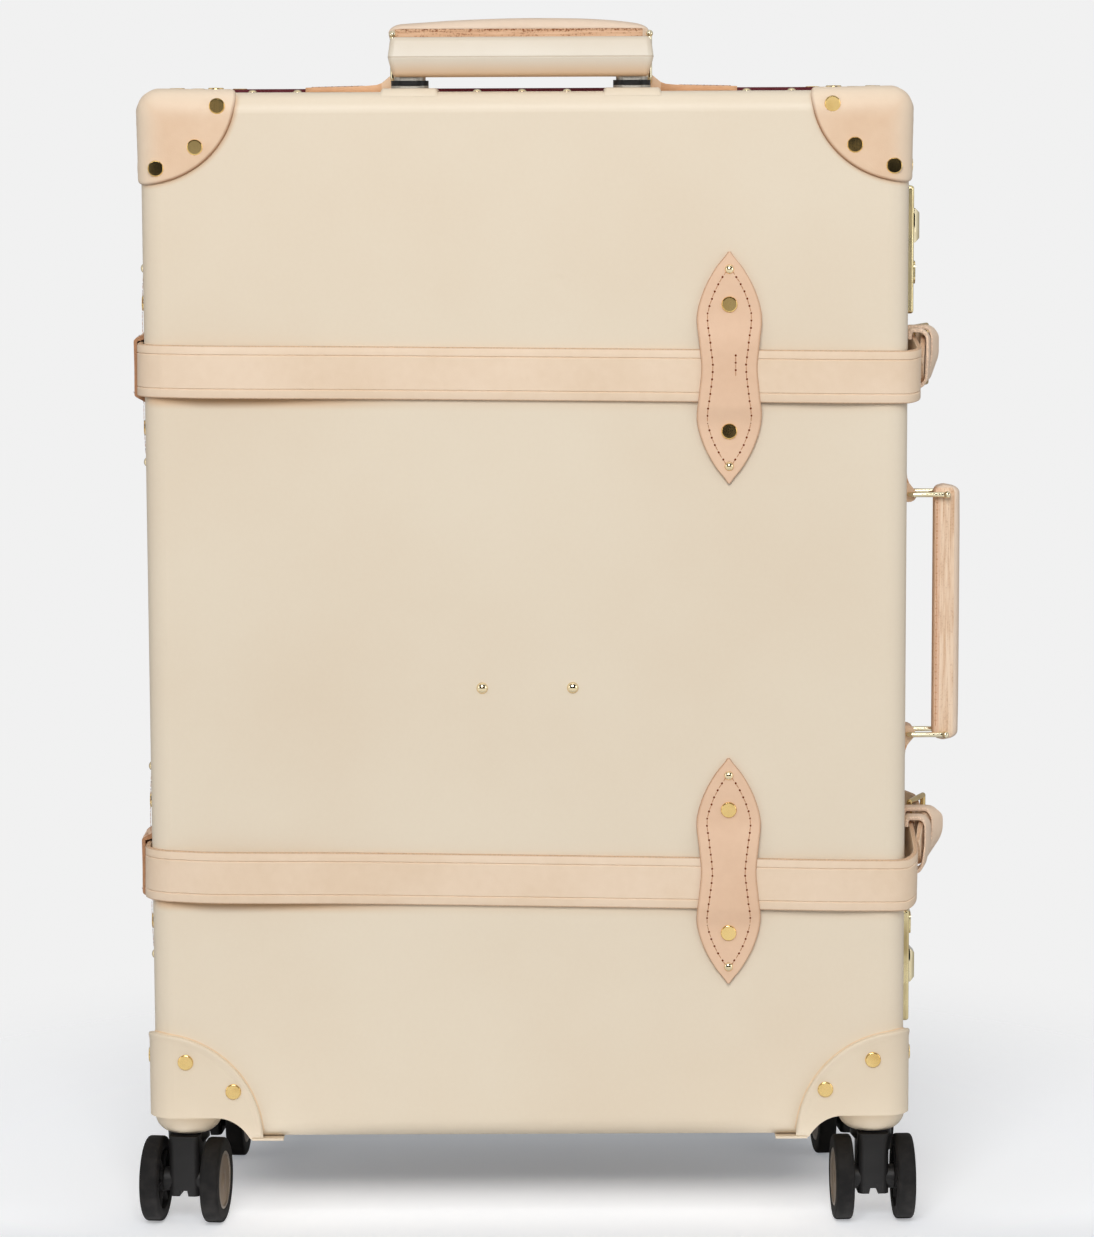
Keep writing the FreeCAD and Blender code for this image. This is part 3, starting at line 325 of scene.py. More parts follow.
for body, back in halves:
    corners = hide_mesh()
    for across in (-1, 1):
        cap = lathe(corner_profile, 160)
        raw = cap.verts.layers.float.new("raw_edge")
        for vert in cap.verts:
            vert[raw] = min(1, max(0, hypot(vert.co.x, vert.co.y) - burnish_start) / burnish_run)
        lay_on_corner(cap, across, back, 1, corner_tall, corner_wide[across])
        put(corners, cap)
    make_piece("corners_" + body, corners, [corner_hide], body, [body + "_corners"])

# Moulded corners: ivory nylon shells over the bottom corners, with an arch for each caster.
# A rounded bead runs along the edge on the front and the side, with a fine glue line outside it.
nylon = mottled("ivory_nylon", rgb(229, 214, 191), rgb(221, 203, 178), (22, 4),
                0.42, 0.1, (1400, 2, 0.00006), shine=0.4)
dress(nylon, "base_housings", "lid_housings")
glue = mottled("amber_glue", rgb(233, 208, 177), rgb(220, 188, 150), (160, 3), 0.5)
bead_profile = [(68.5, 3.8), (70, 4.02), (71.2, 4.2), (72.3, 4.42), (73.3, 4.55), (74.2, 4.45), (74.8, 4.1),
                (75.1, 3.5), (75.2, 2.2), (75.2, 0.1)]
glue_profile = [(75.1, 0.35), (75.5, 0.3), (75.9, 0.15), (76.1, -0.05)]
bead_run, to_bead_start = radians(221), Matrix.Rotation(radians(4), 3, "Z")
for body, back in halves:
    for name, profile, finish in (("bead", bead_profile, nylon), ("glue_line", glue_profile, glue)):
        beads = bmesh.new()
        for across in (-1, 1):
            bead = lathe(profile, 120, bead_run)
            bmesh.ops.rotate(bead, cent=(0, 0, 0), matrix=to_bead_start, verts=bead.verts)
            lay_on_corner(bead, across, back, -1)
            inward = [face for face in bead.faces
                      if face.normal.dot(face.calc_center_median() - body_middle) < 0]
            if len(inward) > len(bead.faces) / 2:
                bmesh.ops.reverse_faces(bead, faces=bead.faces)
            put(beads, bead)
        make_piece("housing_" + name + "_" + body, beads, [finish], body)

# Casters: black nylon forks that swivel under the moulded corners, each with two rubber-tyred wheels.
# A wheel has a brown-grey hub disc inside a light trim ring outside, and spokes in a recess inside.
fork_nylon = mottled("black_nylon", rgb(25, 24, 24), rgb(36, 35, 35), (70, 4),
                     0.34, 0.2, (1300, 2, 0.00005), shine=0.35)
dress(fork_nylon, *[node for node in frame["nodes"] if node.startswith("fork_")])
rubber = Finish("black_tyre", rgb(28, 27, 27), shine=0.2)
dust = rubber.noise(120, 5)
rubber.set(Base_Color=rubber.mix(rubber.fade(dust, 0.35, 0.75), rgb(18, 17, 17), rgb(31, 29, 28)),
           Roughness=0.6 + dust * 0.2, Normal=rubber.bump(rubber.noise(800, 3), 0.0001))
hub_disc = mottled("hub_disc", rgb(98, 84, 70), rgb(116, 100, 84), (90, 4), 0.4)
hub_trim = Finish("hub_trim", rgb(138, 128, 118), Metallic=0.7)
hub_trim.set(Roughness=0.28 + hub_trim.noise(240, 3) * 0.2)
wheel_profile = [(0, 12.3), (3.6, 12.3), (4.4, 12.0), (5.2, 11.7), (10, 11.75), (17.6, 11.9), (18.2, 12.0),
                 (18.5, 12.6), (19.1, 12.85), (19.8, 12.8), (20.3, 12.4), (20.8, 12.7), (22.5, 12.95),
                 (26.8, 12.95), (28.4, 12.75), (29.4, 12.1), (29.9, 11.1), (30, 10.1), (30, 2.9), (29.9, 1.9),
                 (29.4, 0.9), (28.4, 0.25), (26.8, 0.05), (22.4, 0.05), (21.6, 0.5), (21.0, 3.2), (20.4, 3.9),
                 (10.4, 3.9), (9.6, 3.3), (9.2, 0.9), (8.6, 0.4), (4.1, 0.4), (4.1, 11.4), (0, 11.4)]
wheel_half, outer_face, disc_reach, trim_reach = 6.5, 11.5, 18.2, 20.1
spoke_count, spoke_size, spoke_place = 6, (12, 2.2, 3.4), (15.2, 0, 2.6)


def box_mm(node):
    return [Vector(corner) * 1000 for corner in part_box(node)]


def block(size, centre):
    bm = bmesh.new()
    bmesh.ops.create_cube(bm, size=1)
    bmesh.ops.scale(bm, vec=size, verts=bm.verts)
    bmesh.ops.translate(bm, vec=centre, verts=bm.verts)
    return bm


def ease(bm, edges, offset, segments=2):
    bmesh.ops.bevel(bm, geom=edges, offset=offset, segments=segments, profile=0.5, affect="EDGES",
                    material=-1)


def at(origin, **turns):
    place = Matrix.Translation(origin)
    for axis, angle in turns.items():
        place = place @ Matrix.Rotation(angle, 4, axis)
    return place


def facing(base, out, **leans):
    return at(base, **leans) @ out.to_track_quat("Z", "Y").to_matrix().to_4x4()


for joint in frame["joints"]:
    motion, _, which = joint["name"].partition("_")
    if motion != "roll":
        continue
    node = "wheel_" + which
    fork_low, fork_high = box_mm("fork_" + which[:-2])
    low, high = box_mm(node)
    axis = Vector(joint["axis"]).normalized()
    middle = (low + high) / 2
    if axis.dot(middle - (fork_low + fork_high) / 2) < 0:
        axis = -axis
    wheel = lathe(wheel_profile, 64)
    for face in wheel.faces:
        centre = face.calc_center_median()
        reach = hypot(centre.x, centre.y)
        if centre.z > outer_face and reach < trim_reach:
            face.material_index = 1 if reach < disc_reach else 2
    for k in range(spoke_count):
        spoke = block(spoke_size, spoke_place)
        ease(spoke, spoke.edges[:], 0.4)
        put(wheel, spoke, at((0, 0, 0), Z=k * full_turn / spoke_count))
    bmesh.ops.transform(wheel, matrix=facing(middle - axis * wheel_half, axis), verts=wheel.verts)
    make_piece("tyre_" + which, wheel, [rubber, hub_disc, hub_trim], node, [node])


# Hinges: three stamped brass butt hinges on the left side, their knuckles outside the straps.
# The brass is brushed and has begun to darken in patches.
def brass(name, light, dark, roughness, wear=1.0):
    finish = Finish(name, light, Metallic=1.0)
    tarnish = finish.fade(finish.noise(45, 5), 0.35, 0.75)
    scratch = finish.noise(900, 3, (1, 1, 0.08))
    finish.set(Base_Color=finish.mix(tarnish * 0.7, light, dark),
               Roughness=roughness + tarnish * 0.16 * wear + (scratch - 0.5) * 0.12 * wear,
               Normal=finish.bump(scratch, 0.00003 * wear))
    return finish


aged_brass = brass("aged_brass", rgb(214, 186, 128), rgb(150, 112, 58), 0.24)
dress(aged_brass, "base_hinges", "lid_hinges")

# Straps on the near shell: bridle leather with a creased line along both edges and cut raw edges.
# They lie round the left edge, the front and the right edge, and turn back round the buckle bars.
strap_hide = leather("strap_hide", rgb(237, 214, 189), rgb(226, 200, 171), rgb(208, 168, 132))
strap_levels, strap_dips, tail_levels = (599.8, 251.1), (0.70, 1.03), (604.5, 267.0)
strap_width, strap_wall, left_x, right_x, front_y = 36, 3.2, -264.8, 267.9, -136.6
heel_x, heel_y, heel_wall, heel_run, seam_y = 271.2, -32.0, 2.3, 8.2, 14.0
crease_floor = 0.8


def strap_ring(width, wall, crease=True):
    edge = width / 2
    outer = [(0, 0.5), (0.05, 0.72), (0.35, 0.9), (1.2, 1)]
    if crease:
        outer += [(5.8, 1), (6.1, 0.86), (6.4, crease_floor), (6.7, 0.86), (7.1, 1)]
    half = [(edge - inset, w) for inset, w in [(1.5, 0), (0.5, 0.03), (0.05, 0.25)] + outer]
    ring = half[3:] + [(-z, w) for z, w in reversed(half)] + half[:3]
    return [(z, (w - 0.5) * wall, 0.8 if abs(z) > edge - 0.4 else 0.4 if w == crease_floor else 0)
            for z, w in ring]


def route(points, radii):
    points = [Vector(point) for point in points]
    moves, here = [], points[0]
    for before, corner, after, radius in zip(points, points[1:], points[2:], radii):
        into, out = (corner - before).normalized(), (after - corner).normalized()
        turn = atan2(into.x * out.y - into.y * out.x, into.dot(out))
        run = radius * tan(abs(turn) / 2)
        first = corner - into * run
        side = Vector((-into.y, into.x)) * copysign(radius, turn)
        moves += [(first - here, None, 0), (None, first + side, turn)]
        here = corner + out * run
    return moves + [(points[-1] - here, None, 0)]


def sweep(ring, start, heading, moves, pitch=9.0, turn_pitch=2.5):
    bm = bmesh.new()
    raw = bm.verts.layers.float.new("raw_edge")
    outward = Vector((heading[1], -heading[0])).normalized()
    marks = []
    for z, stand, is_raw in ring:
        mark = bm.verts.new((start[0] + outward.x * stand, start[1] + outward.y * stand, z))
        mark[raw] = float(is_raw)
        marks.append(mark)
    edges = first = [bm.edges.new(pair) for pair in zip(marks, marks[1:] + marks[:1])]
    for run, centre, turn in moves:
        if centre is None:
            parts = max(1, round(run.length / pitch))
            for part in range(parts if run.length > 0.001 else 0):
                made = bmesh.ops.extrude_edge_only(bm, edges=edges)["geom"]
                verts = {item for item in made if isinstance(item, BMVert)}
                bmesh.ops.translate(bm, vec=(run.x / parts, run.y / parts, 0), verts=list(verts))
                edges = [item for item in made if isinstance(item, BMEdge) and verts.issuperset(item.verts)]
        else:
            verts = list(dict.fromkeys(vert for edge in edges for vert in edge.verts))
            radius = (Vector(verts[0].co.xy) - centre).length
            steps = max(3, round(abs(turn) * radius / turn_pitch))
            made = bmesh.ops.spin(bm, geom=verts + edges, cent=(centre.x, centre.y, 0), axis=(0, 0, 1),
                                  angle=turn, steps=steps)["geom_last"]
            edges = [item for item in made if isinstance(item, BMEdge)]
    bmesh.ops.edgeloop_fill(bm, edges=first)
    bmesh.ops.edgeloop_fill(bm, edges=edges)
    face_out(bm)
    return bm


def swell(place, top, rise, before, after):
    return rise * exp(-((place - top) / (after if place > top else before)) ** 2)


def hang(strap, level, dip, pivot_x):
    tilt = Matrix.Rotation(radians(dip), 3, "Y")
    bmesh.ops.translate(strap, vec=(0, 0, level), verts=strap.verts)
    bmesh.ops.rotate(strap, cent=(pivot_x, 0, level), matrix=tilt, verts=strap.verts)


near_points = [(left_x, -seam_y), (left_x, front_y), (right_x, front_y), (right_x, heel_y - 8)]
heel_wrap = [(Vector((0, heel_run)), None, 0), (None, Vector((heel_x, heel_y)), radians(-205))]
heel_inner, heel_outer = 3.2, 17.5
front_zone, left_zone, right_zone = -100, -250, 240
left_swell, right_swell = (-218, 5.8, 24, 70), (212, 2.4, 60, 28)
pinch, pinch_y, pinch_run, climb_y, climb_run = 1.1, -50, 40, -134, 86
near_straps = hide_mesh()
for level, dip, tail_level in zip(strap_levels, strap_dips, tail_levels):
    strap = sweep(strap_ring(strap_width, strap_wall), near_points[0], (0, -1),
                  route(near_points, [19.5, 19]), 6.0)
    for vert in strap.verts:
        if vert.co.y < front_zone:
            vert.co.y -= swell(vert.co.x, *left_swell) + swell(vert.co.x, *right_swell)
        if vert.co.x < left_zone and vert.co.y < pinch_y:
            vert.co.x += pinch * min(1, (pinch_y - vert.co.y) / pinch_run)
    hang(strap, level, dip, 0)
    climb = tail_level - level + sin(radians(dip)) * right_x
    for vert in strap.verts:
        if vert.co.x > right_zone:
            way = min(1, max(0, (vert.co.y - climb_y) / climb_run))
            vert.co.z += climb * (1 - (1 - way) ** 1.5)
    put(near_straps, strap)
    for low, high in ((-heel_outer, -heel_inner), (heel_inner, heel_outer)):
        strip = sweep(strap_ring(high - low, heel_wall, False), (right_x, heel_y - heel_run), (0, 1),
                      heel_wrap, 2.0, 0.8)
        bmesh.ops.translate(strip, vec=(0, 0, tail_level + (low + high) / 2), verts=strip.verts)
        put(near_straps, strip)
make_piece("straps_near", near_straps, [strap_hide], "base", ["base_straps"])

# Straps on the far shell: the tails that slide out of the buckles, the back and the left edge.
# Each tail ends in a rounded tip and bulges a little where it passes through the loops.
tail_dips, tail_width, tail_wall, hinge_x = (-0.16, -1.21), 34, 3.0, -267.0
tip_reach, tip_round, arc_end, bend_y, far_x, back_y, bulge_run = 88.0, 15, 8.0, 18.0, 264.7, 136.5, 66
bulge_foot, bulge_height, shoulder, shoulder_fall = -19, 38.6, 0.84, 3.5
tail_bulges = ([(0, 0.4), (2, 0.9), (15, 1.4), (26, 2.7), (39, 6.8), (44, 6.6), (66, 0)],
               [(0, 0.6), (2, 1.3), (15, 4.2), (26, 4.3), (38, 11.4), (42, 10.6), (56, 0.4), (66, 0)])


def smooth(share):
    return share * share * (3 - 2 * share)


def between(marks, place):
    place = max(marks[0][0], min(marks[-1][0], place))
    i = next(k for k in range(len(marks) - 1) if place <= marks[k + 1][0])
    (a, first), (b, last) = marks[i], marks[i + 1]
    before, after = marks[max(i - 1, 0)], marks[min(i + 2, len(marks) - 1)]
    rise = (last - before[1]) / (b - before[0]) * (b - a)
    fall = (after[1] - first) / (after[0] - a) * (b - a)
    s = (place - a) / (b - a)
    return first + (last - first) * smooth(s) + s * (1 - s) * (rise * (1 - s) - fall * s)


def on_arc(reach, angle):
    return hinge_x + reach * cos(angle), reach * sin(angle)


tail_inner = hypot(half_width + 6.3 + strap_wall + 0.8 - hinge_x, tip_reach)
tail_radius = tail_inner + tail_wall / 2
start_angle, finish_angle = -asin(tip_reach / tail_radius), asin(arc_end / tail_radius)
corner_reach = tail_radius / cos((finish_angle - start_angle) / 2)
tail_start = on_arc(tail_radius, start_angle)
bend_x = on_arc(tail_radius, finish_angle)[0] - tan(finish_angle) * (bend_y - arc_end)
far_points = [tail_start, on_arc(corner_reach, (start_angle + finish_angle) / 2), (bend_x, bend_y),
              (far_x, 62.0), (far_x, back_y), (-far_x, back_y), (-far_x, seam_y)]
far_straps = hide_mesh()
for level, dip, bulge in zip(tail_levels, tail_dips, tail_bulges):
    strap = sweep(strap_ring(tail_width, tail_wall), tail_start, (-sin(start_angle), cos(start_angle)),
                  route(far_points, [tail_radius, 25, 30, 16, 16]))
    for vert in strap.verts:
        from_tip = vert.co.y + tip_reach
        if vert.co.x > 0 and from_tip < tip_round:
            vert.co.z *= sqrt(max(0.02, 1 - (1 - from_tip / tip_round) ** 2))
        if vert.co.x > 0 and from_tip < bulge_run:
            climb = (vert.co.z - bulge_foot) / bulge_height
            fullness = min(1, 2 * climb, 1 - (climb - shoulder) * shoulder_fall)
            vert.co.x += between(bulge, max(0, from_tip)) * fullness
    hang(strap, level, dip, half_width)
    put(far_straps, strap)
make_piece("straps_far", far_straps, [strap_hide], "lid", ["lid_straps"])

# Strap bridges: the short stretch of each strap that crosses the hinge line on the left side.
# It is the same leather and bends when the far shell opens.
for word, near_level, far_level in (("upper", 603.03, 603.03), ("lower", 255.86, 255.92)):
    bridge = sweep(strap_ring(strap_width, strap_wall), (left_x, seam_y), (0, -1),
                   [(Vector((0, -2 * seam_y)), None, 0)], 1.5)
    for vert in bridge.verts:
        share = smooth((vert.co.y + seam_y) / (2 * seam_y))
        width = strap_width + (tail_width - strap_width) * share
        vert.co.z = vert.co.z * width / strap_width + near_level + (far_level - near_level) * share
    piece = make_piece("strap_bridge_" + word, bridge, [strap_hide], None)
    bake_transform(piece, "base", "lid", start=(-0.267, -0.012, near_level / 1000),
             end=(-0.267, 0.012, near_level / 1000))

# Buckles: bent brass wire frames with a loose prong each, held by the turned-back straps.
# The wire is polished by use.
dress(aged_brass, "buckle_frames", "prong_upper", "prong_lower")

# Strap loops: leather bands round each strap and its tail, bulging outwards where the tail pushes them.
# The band's cut edges are left raw.
loop_hide = leather("loop_hide", rgb(246, 221, 196), rgb(236, 208, 181), rgb(252, 220, 192))
loop_width, loop_wall, loop_return, loop_behind, slant_from = 13, 2.8, 6, half_width + 4.6, 266
loop_sizes = ((586.0, 39.4, 79.5, 280.2, 2.5), (586.6, 39.6, 55.5, 288.5, 6.0),
              (245.6, 38.8, 79.5, 283.2, 5.0), (248.0, 38.6, 55.5, 294.0, 9.0))
x_way, y_way, z_way = Vector((1, 0, 0)), Vector((0, 1, 0)), Vector((0, 0, 1))


def turned(along, up, across, origin=(0, 0, 0)):
    return at(origin) @ Matrix((along, up, across)).transposed().to_4x4()


loops = hide_mesh()
for low, tall, setback, reach, slant in loop_sizes:
    skin_x = hinge_x + sqrt((tail_inner + tail_wall) ** 2 - (setback - loop_width / 2) ** 2) + 1.8
    out, high = max(reach - loop_wall / 2, skin_x), low + tall
    points = [(loop_behind, low + loop_return), (loop_behind, low), (skin_x, low + 0.8),
              (out, low + 0.5 * tall), (out, low + 0.84 * tall), (skin_x + 0.4 * (out - skin_x), high),
              (loop_behind, high), (loop_behind, high - loop_return)]
    loop = sweep(strap_ring(loop_width, loop_wall, False), points[0], (0, -1),
                 route(points, [2.5, 9, 20, 6, 8, 2.5]), 3.0, 1.0)
    bmesh.ops.transform(loop, matrix=turned(x_way, z_way, y_way, (0, -setback, 0)), verts=loop.verts)
    for vert in loop.verts:
        near = 0.5 - (vert.co.y + setback) / loop_width
        vert.co.x -= slant * near * min(1, max(0, (vert.co.x - slant_from) / (reach - slant_from))) ** 2
    put(loops, loop)
face_out(loops)
make_piece("loops", loops, [loop_hide], "base", ["strap_loops"])

# Keepers: pointed leather tabs with a waist that hold the straps down, arched where the strap runs under.
# They are cut from thick hide, sewn along both sides in tan thread and riveted at both ends.
keeper_hide = leather("keeper_hide", rgb(233, 198, 168), rgb(221, 183, 152), cut_edge)
keeper_edge = leather("keeper_raw_edge", rgb(206, 160, 124), rgb(184, 136, 100), cut_edge, 0.0002)
thread = mottled("tan_thread", rgb(200, 150, 114), rgb(170, 118, 82), (700, 2), 0.7)
awl_hole = mottled("awl_hole", rgb(98, 40, 14), rgb(128, 62, 28), (900, 2), 0.9, shine=0.0)
keeper_x, keeper_length, keeper_wall, stitch_pitch = 137.8, 78.5, 3.0, 4.95
keeper_outline = [(-16.9, 20.5), (0, 19), (16.9, 20.5), (35.2, 22), (52, 17.6), (67, 9.6), (75.5, 2.9),
                  (78.5, 0.9)]
stitch_outline = [(-17, 13), (0, 11.3), (17, 13), (35, 14.8), (48, 11.5), (58, 6.8), (64, 3), (66.8, 1.5)]


def keeper_lift(z, tunnel):
    top, top_run, bottom, bottom_run = tunnel
    beyond = (z - top) / top_run if z > top else (bottom - z) / bottom_run if z < bottom else 0
    return smooth(max(0, 1 - beyond))


def keeper_tab(lift, under, tunnel, skived=0.0):
    below = (tunnel[0], 1.2, tunnel[2], 1.2) if skived else tunnel
    tab = bmesh.new()
    raw = tab.verts.layers.float.new("raw_edge")
    bmesh.ops.create_grid(tab, x_segments=18, y_segments=160, size=1)
    for vert in tab.verts:
        z = vert.co.y * keeper_length
        across = copysign(1 - (1 - abs(vert.co.x)) ** 1.7, vert.co.x)
        half = between(keeper_outline, abs(z))
        rim = max(0, 1 - (1 - abs(across)) * half)
        raised = keeper_lift(z, tunnel)
        sunk = 0.6 * rim * rim * (1 - skived / 3) + skived * across * across * (1 - raised)
        vert[raw] = 0.75 * rim
        vert.co = (across * half, sunk - keeper_wall - lift * raised, z)
    made = bmesh.ops.extrude_face_region(tab, geom=tab.faces[:])["geom"]
    for vert in made:
        if isinstance(vert, BMVert):
            vert.co.y = -0.05 - under * keeper_lift(vert.co.z, below)
    face_out(tab)
    for face in tab.faces:
        face.material_index = 1 if abs(face.normal.y) < 0.5 else 0
    return tab


def sew(sewing, x, z, stand, slope=0.0, tilt=0.0):
    place = at((x, -stand, z), X=tilt, Y=slope)
    stitch, hole = ((0.36, 0.2, 1.75), 6, 5, 0), ((0.72, 0.16, 0.85), 8, 4, 2.45)
    for index, (size, sides, rows, ahead) in enumerate((stitch, hole)):
        part = bmesh.new()
        bmesh.ops.create_uvsphere(part, u_segments=sides, v_segments=rows, radius=1)
        bmesh.ops.scale(part, vec=size, verts=part.verts)
        for face in part.faces:
            face.material_index = index
        put(sewing, part, place @ at((0, 0, ahead)))


def keeper_sewing(lift, tunnel, seed):
    rng = random.Random(seed)
    sewing = bmesh.new()
    for side in (-1, 1):
        for k in range(-13, 14):
            z = k * stitch_pitch
            x = side * between(stitch_outline, abs(z))
            ahead = side * between(stitch_outline, abs(z + 0.5))
            rise = lift * (keeper_lift(z + 0.5, tunnel) - keeper_lift(z - 0.5, tunnel))
            stand = keeper_wall + lift * keeper_lift(z, tunnel)
            sew(sewing, x, z, stand, atan2(ahead - x, 0.5) + rng.uniform(-0.05, 0.05), atan(rise))
    return sewing


side_tunnel, keeper_rise, keeper_room = (18, 6, -19, 6), 2.4, 3.3
side_keeper_y, side_rise, side_room, side_sewn, side_skive = -85, 5.8, 6.4, 5.6, 2.2
keeper_sides = {-1: ((603.5, 257.0), (13, 25, -24, 16), 0), 1: ((604.2, 264.4), (18, 18, -18, 18), pi)}
for body, back in halves:
    tabs, sewing = hide_mesh(), bmesh.new()
    levels, tunnel, turn = keeper_sides[back]
    for count, level in enumerate(levels):
        front = at((keeper_x, back * half_depth, level), Z=turn)
        put(tabs, keeper_tab(keeper_rise, keeper_room, tunnel), front)
        put(sewing, keeper_sewing(keeper_rise, tunnel, count), front)
        if back < 0:
            side = at((-half_width, side_keeper_y, level), Z=-pi / 2)
            put(tabs, keeper_tab(side_rise, side_room, side_tunnel, side_skive), side)
            put(sewing, keeper_sewing(side_sewn, side_tunnel, count + 4), side)
    if back < 0:
        mend = bmesh.new()
        for k in range(3):
            sew(mend, 4.2, 6.2 - k * stitch_pitch, keeper_wall + keeper_rise)
        put(sewing, mend, at((keeper_x, -half_depth, levels[0])))
    make_piece("keepers_" + body, tabs, [keeper_hide, keeper_edge], body, [body + "_keepers"])
    make_piece("keeper_sewing_" + body, sewing, [thread, awl_hole], body)

# Rivets: flat-headed brass rivets through the leather and the moulded corners.
# Each is set by hand, so the heads lean a little and catch the light differently.
rivet_brass = brass("rivet_brass", rgb(242, 210, 142), rgb(216, 176, 104), 0.1, 0.5)


def islands(node):
    bm = bmesh.new()
    bm.from_mesh(frame["nodes"][node].data)
    bmesh.ops.remove_doubles(bm, verts=bm.verts, dist=1e-6)
    waiting = set(bm.verts)
    found = []
    while waiting:
        group, queue = [], [waiting.pop()]
        while queue:
            vert = queue.pop()
            group.append(vert.co * 1000)
            fresh = {edge.other_vert(vert) for edge in vert.link_edges} & waiting
            waiting -= fresh
            queue += fresh
        low, high = [Vector([pick(parts) for parts in zip(*group)]) for pick in (min, max)]
        size, middle = high - low, (low + high) / 2
        axis = list(size).index(min(size))
        out = Vector()
        out[axis] = 1 if middle[axis] > body_middle[axis] else -1
        base = middle - out * size[axis] / 2
        found.append((tuple(round(part, 2) for part in base), out, max(size) / 2, size[axis]))
    bm.free()
    return sorted(found, key=lambda item: item[0])


rivet_profile = [(0, 1.2), (4.4, 1.2), (4.8, 1.2), (4.88, 1.19), (5.12, 1.05), (5.3, 0.8), (5.43, 0.45),
                 (5.5, 0), (5.5, -0.3), (0, -0.3)]
lean_limit, front_top = 0.03, 500
front_leans = {(-1, 3): 0.024, (-1, 2): 0.034, (-1, 1): -0.05, (1, 3): 0.12, (1, 2): -0.01, (1, 1): -0.03,
               (0, 2): 0.018, (0, 1): -0.03}
for body, back in halves:
    rng = random.Random(7)
    rivets = bmesh.new()
    for base, out, *_ in islands(body + "_rivets"):
        leans = {way: rng.uniform(-lean_limit, lean_limit) for way in "XZ"}
        if out.y < -0.5 and base[2] > front_top:
            side = 0 if 100 < base[0] < 180 else 1 if base[0] > 0 else -1
            rank = 1 + sum(base[2] > mark for mark in ((742, 758) if side else (600,)))
            leans = {"X": front_leans[side, rank]}
        put(rivets, lathe(rivet_profile, 36), facing(base, out, **leans))
    make_piece("rivets_" + body, rivets, [rivet_brass], body, [body + "_rivets"], 20)

# Domes: small domed brass nails along the rims, on the keepers and hinges, and two studs on the front.
# They are pressed from thin sheet and plated pale, so the edge lies hard on what they hold.
pale_plate = brass("pale_plate", rgb(240, 222, 184), rgb(214, 188, 140), 0.05, 0.25)
dome_profile = [(0, 1), (0.22, 0.97), (0.45, 0.87), (0.66, 0.7), (0.82, 0.5), (0.93, 0.28), (1, 0.06),
                (1, -0.1), (0, -0.1)]
for body, back in halves:
    domes = bmesh.new()
    for base, out, radius, height in islands(body + "_studs"):
        put(domes, lathe([(r * radius, h * height) for r, h in dome_profile], 24), facing(base, out))
    make_piece("domes_" + body, domes, [pale_plate], body, [body + "_studs"], 60)

# Trolley: two-stage aluminium tubes in fixed sleeves, black bezels on ivory pads and a moulded bar.
# The bar is two ivory halves with a parting line half way up and a press button let into its top.
bar = Finish("ivory_bar", rgb(236, 227, 209), shine=0.45)
handled, bar_height, parting_z = bar.noise(30, 4), bar.along("Z"), 0.8133
parting = 1 - bar.fade(abs(bar_height - parting_z), 0.0002, 0.0007)
# Painted light: the upper half is painted lightest just above the parting line and darker towards the top,
# and the lower half is painted a tan shade towards the bottom.
under = 1 - bar.fade(bar_height, 0.799, 0.814)
upper_highlight_fade = bar.fade(bar_height, parting_z, 0.8275)
bar_skin = bar.mix(handled * 0.2 + upper_highlight_fade * 0.8, rgb(222, 213, 197), rgb(214, 201, 181))
bar_skin = bar.mix(under * 0.88 + handled * 0.1, bar_skin, rgb(208, 170, 130))
bar.set(Base_Color=bar.mix(parting * 0.45, bar_skin, rgb(186, 160, 130)), Roughness=0.36 + handled * 0.12,
        Normal=bar.bump(bar.noise(1100, 2) * 0.2 - parting, 0.0002))
dress(bar, "trolley_bar", "trolley_button")
pad_ivory = mottled("ivory_pad", rgb(233, 219, 197), rgb(224, 206, 181), (60, 4), 0.45, 0, (1300, 2, 0.00006))
pads = bmesh.new()
pad_half, pad_wall, fold_share, fold_y, fold_z, fold_radius, top_z = 19.25, 2.4, 0.25, -121, 776, 30, 790
hole_wide, hole_deep, hole_back, fold_from, fold_turn, pad_run = 0.82, 0.34, 0.08, 51, 39, 42
pad_low, pad_high = box_mm("trolley_pads")
for pad_x in (pad_low.x + pad_half, pad_high.x - pad_half):
    pad = bmesh.new()
    bmesh.ops.create_grid(pad, x_segments=44, y_segments=56, size=1)
    hole = [face for face in pad.faces if (face.calc_center_median().x / hole_wide) ** 4
            + ((face.calc_center_median().y - hole_back) / hole_deep) ** 4 < 1]
    bmesh.ops.delete(pad, geom=hole, context="FACES")
    for vert in pad.verts:
        across, share = vert.co.x, (vert.co.y + 1) / 2
        inward = min(1 - abs(across), 1 - abs(vert.co.y)) * pad_half
        stand = pad_wall * min(1, 0.04 + inward / 1.6) ** 0.5 * min(1, 0.15 + share * 5)
        if share < fold_share:
            angle = radians(fold_from + share / fold_share * fold_turn)
            point = Vector((0, fold_y - fold_radius * cos(angle), fold_z + fold_radius * sin(angle)))
        else:
            point = Vector((0, fold_y + (share - fold_share) / (1 - fold_share) * pad_run, top_z))
        point.x = pad_x + across * pad_half
        vert.co = over_body(point, stand)
    face_out(pad)
    if sum(face.normal.z for face in pad.faces) < 0:
        bmesh.ops.reverse_faces(pad, faces=pad.faces)
    put(pads, pad)
make_piece("pads", pads, [pad_ivory], "base", ["trolley_pads"])
aluminium = Finish("drawn_aluminium", rgb(188, 184, 174), Metallic=1.0)
drawn = aluminium.noise(700, 3, (1, 1, 0.02))
aluminium.set(Base_Color=aluminium.mix(drawn, rgb(196, 191, 180), rgb(168, 163, 154)),
              Roughness=0.42 + drawn * 0.2, Normal=aluminium.bump(drawn, 0.00003))
dress(aluminium, "trolley_inner_tubes", "trolley_middle_tubes", "trolley_sleeves", "trolley_bracket")
bezel = mottled("black_bezel", rgb(14, 14, 14), rgb(26, 25, 25), (200, 4),
                0.3, 0.2, (1200, 2, 0.00005), shine=0.25)
dress(bezel, "trolley_bezels")

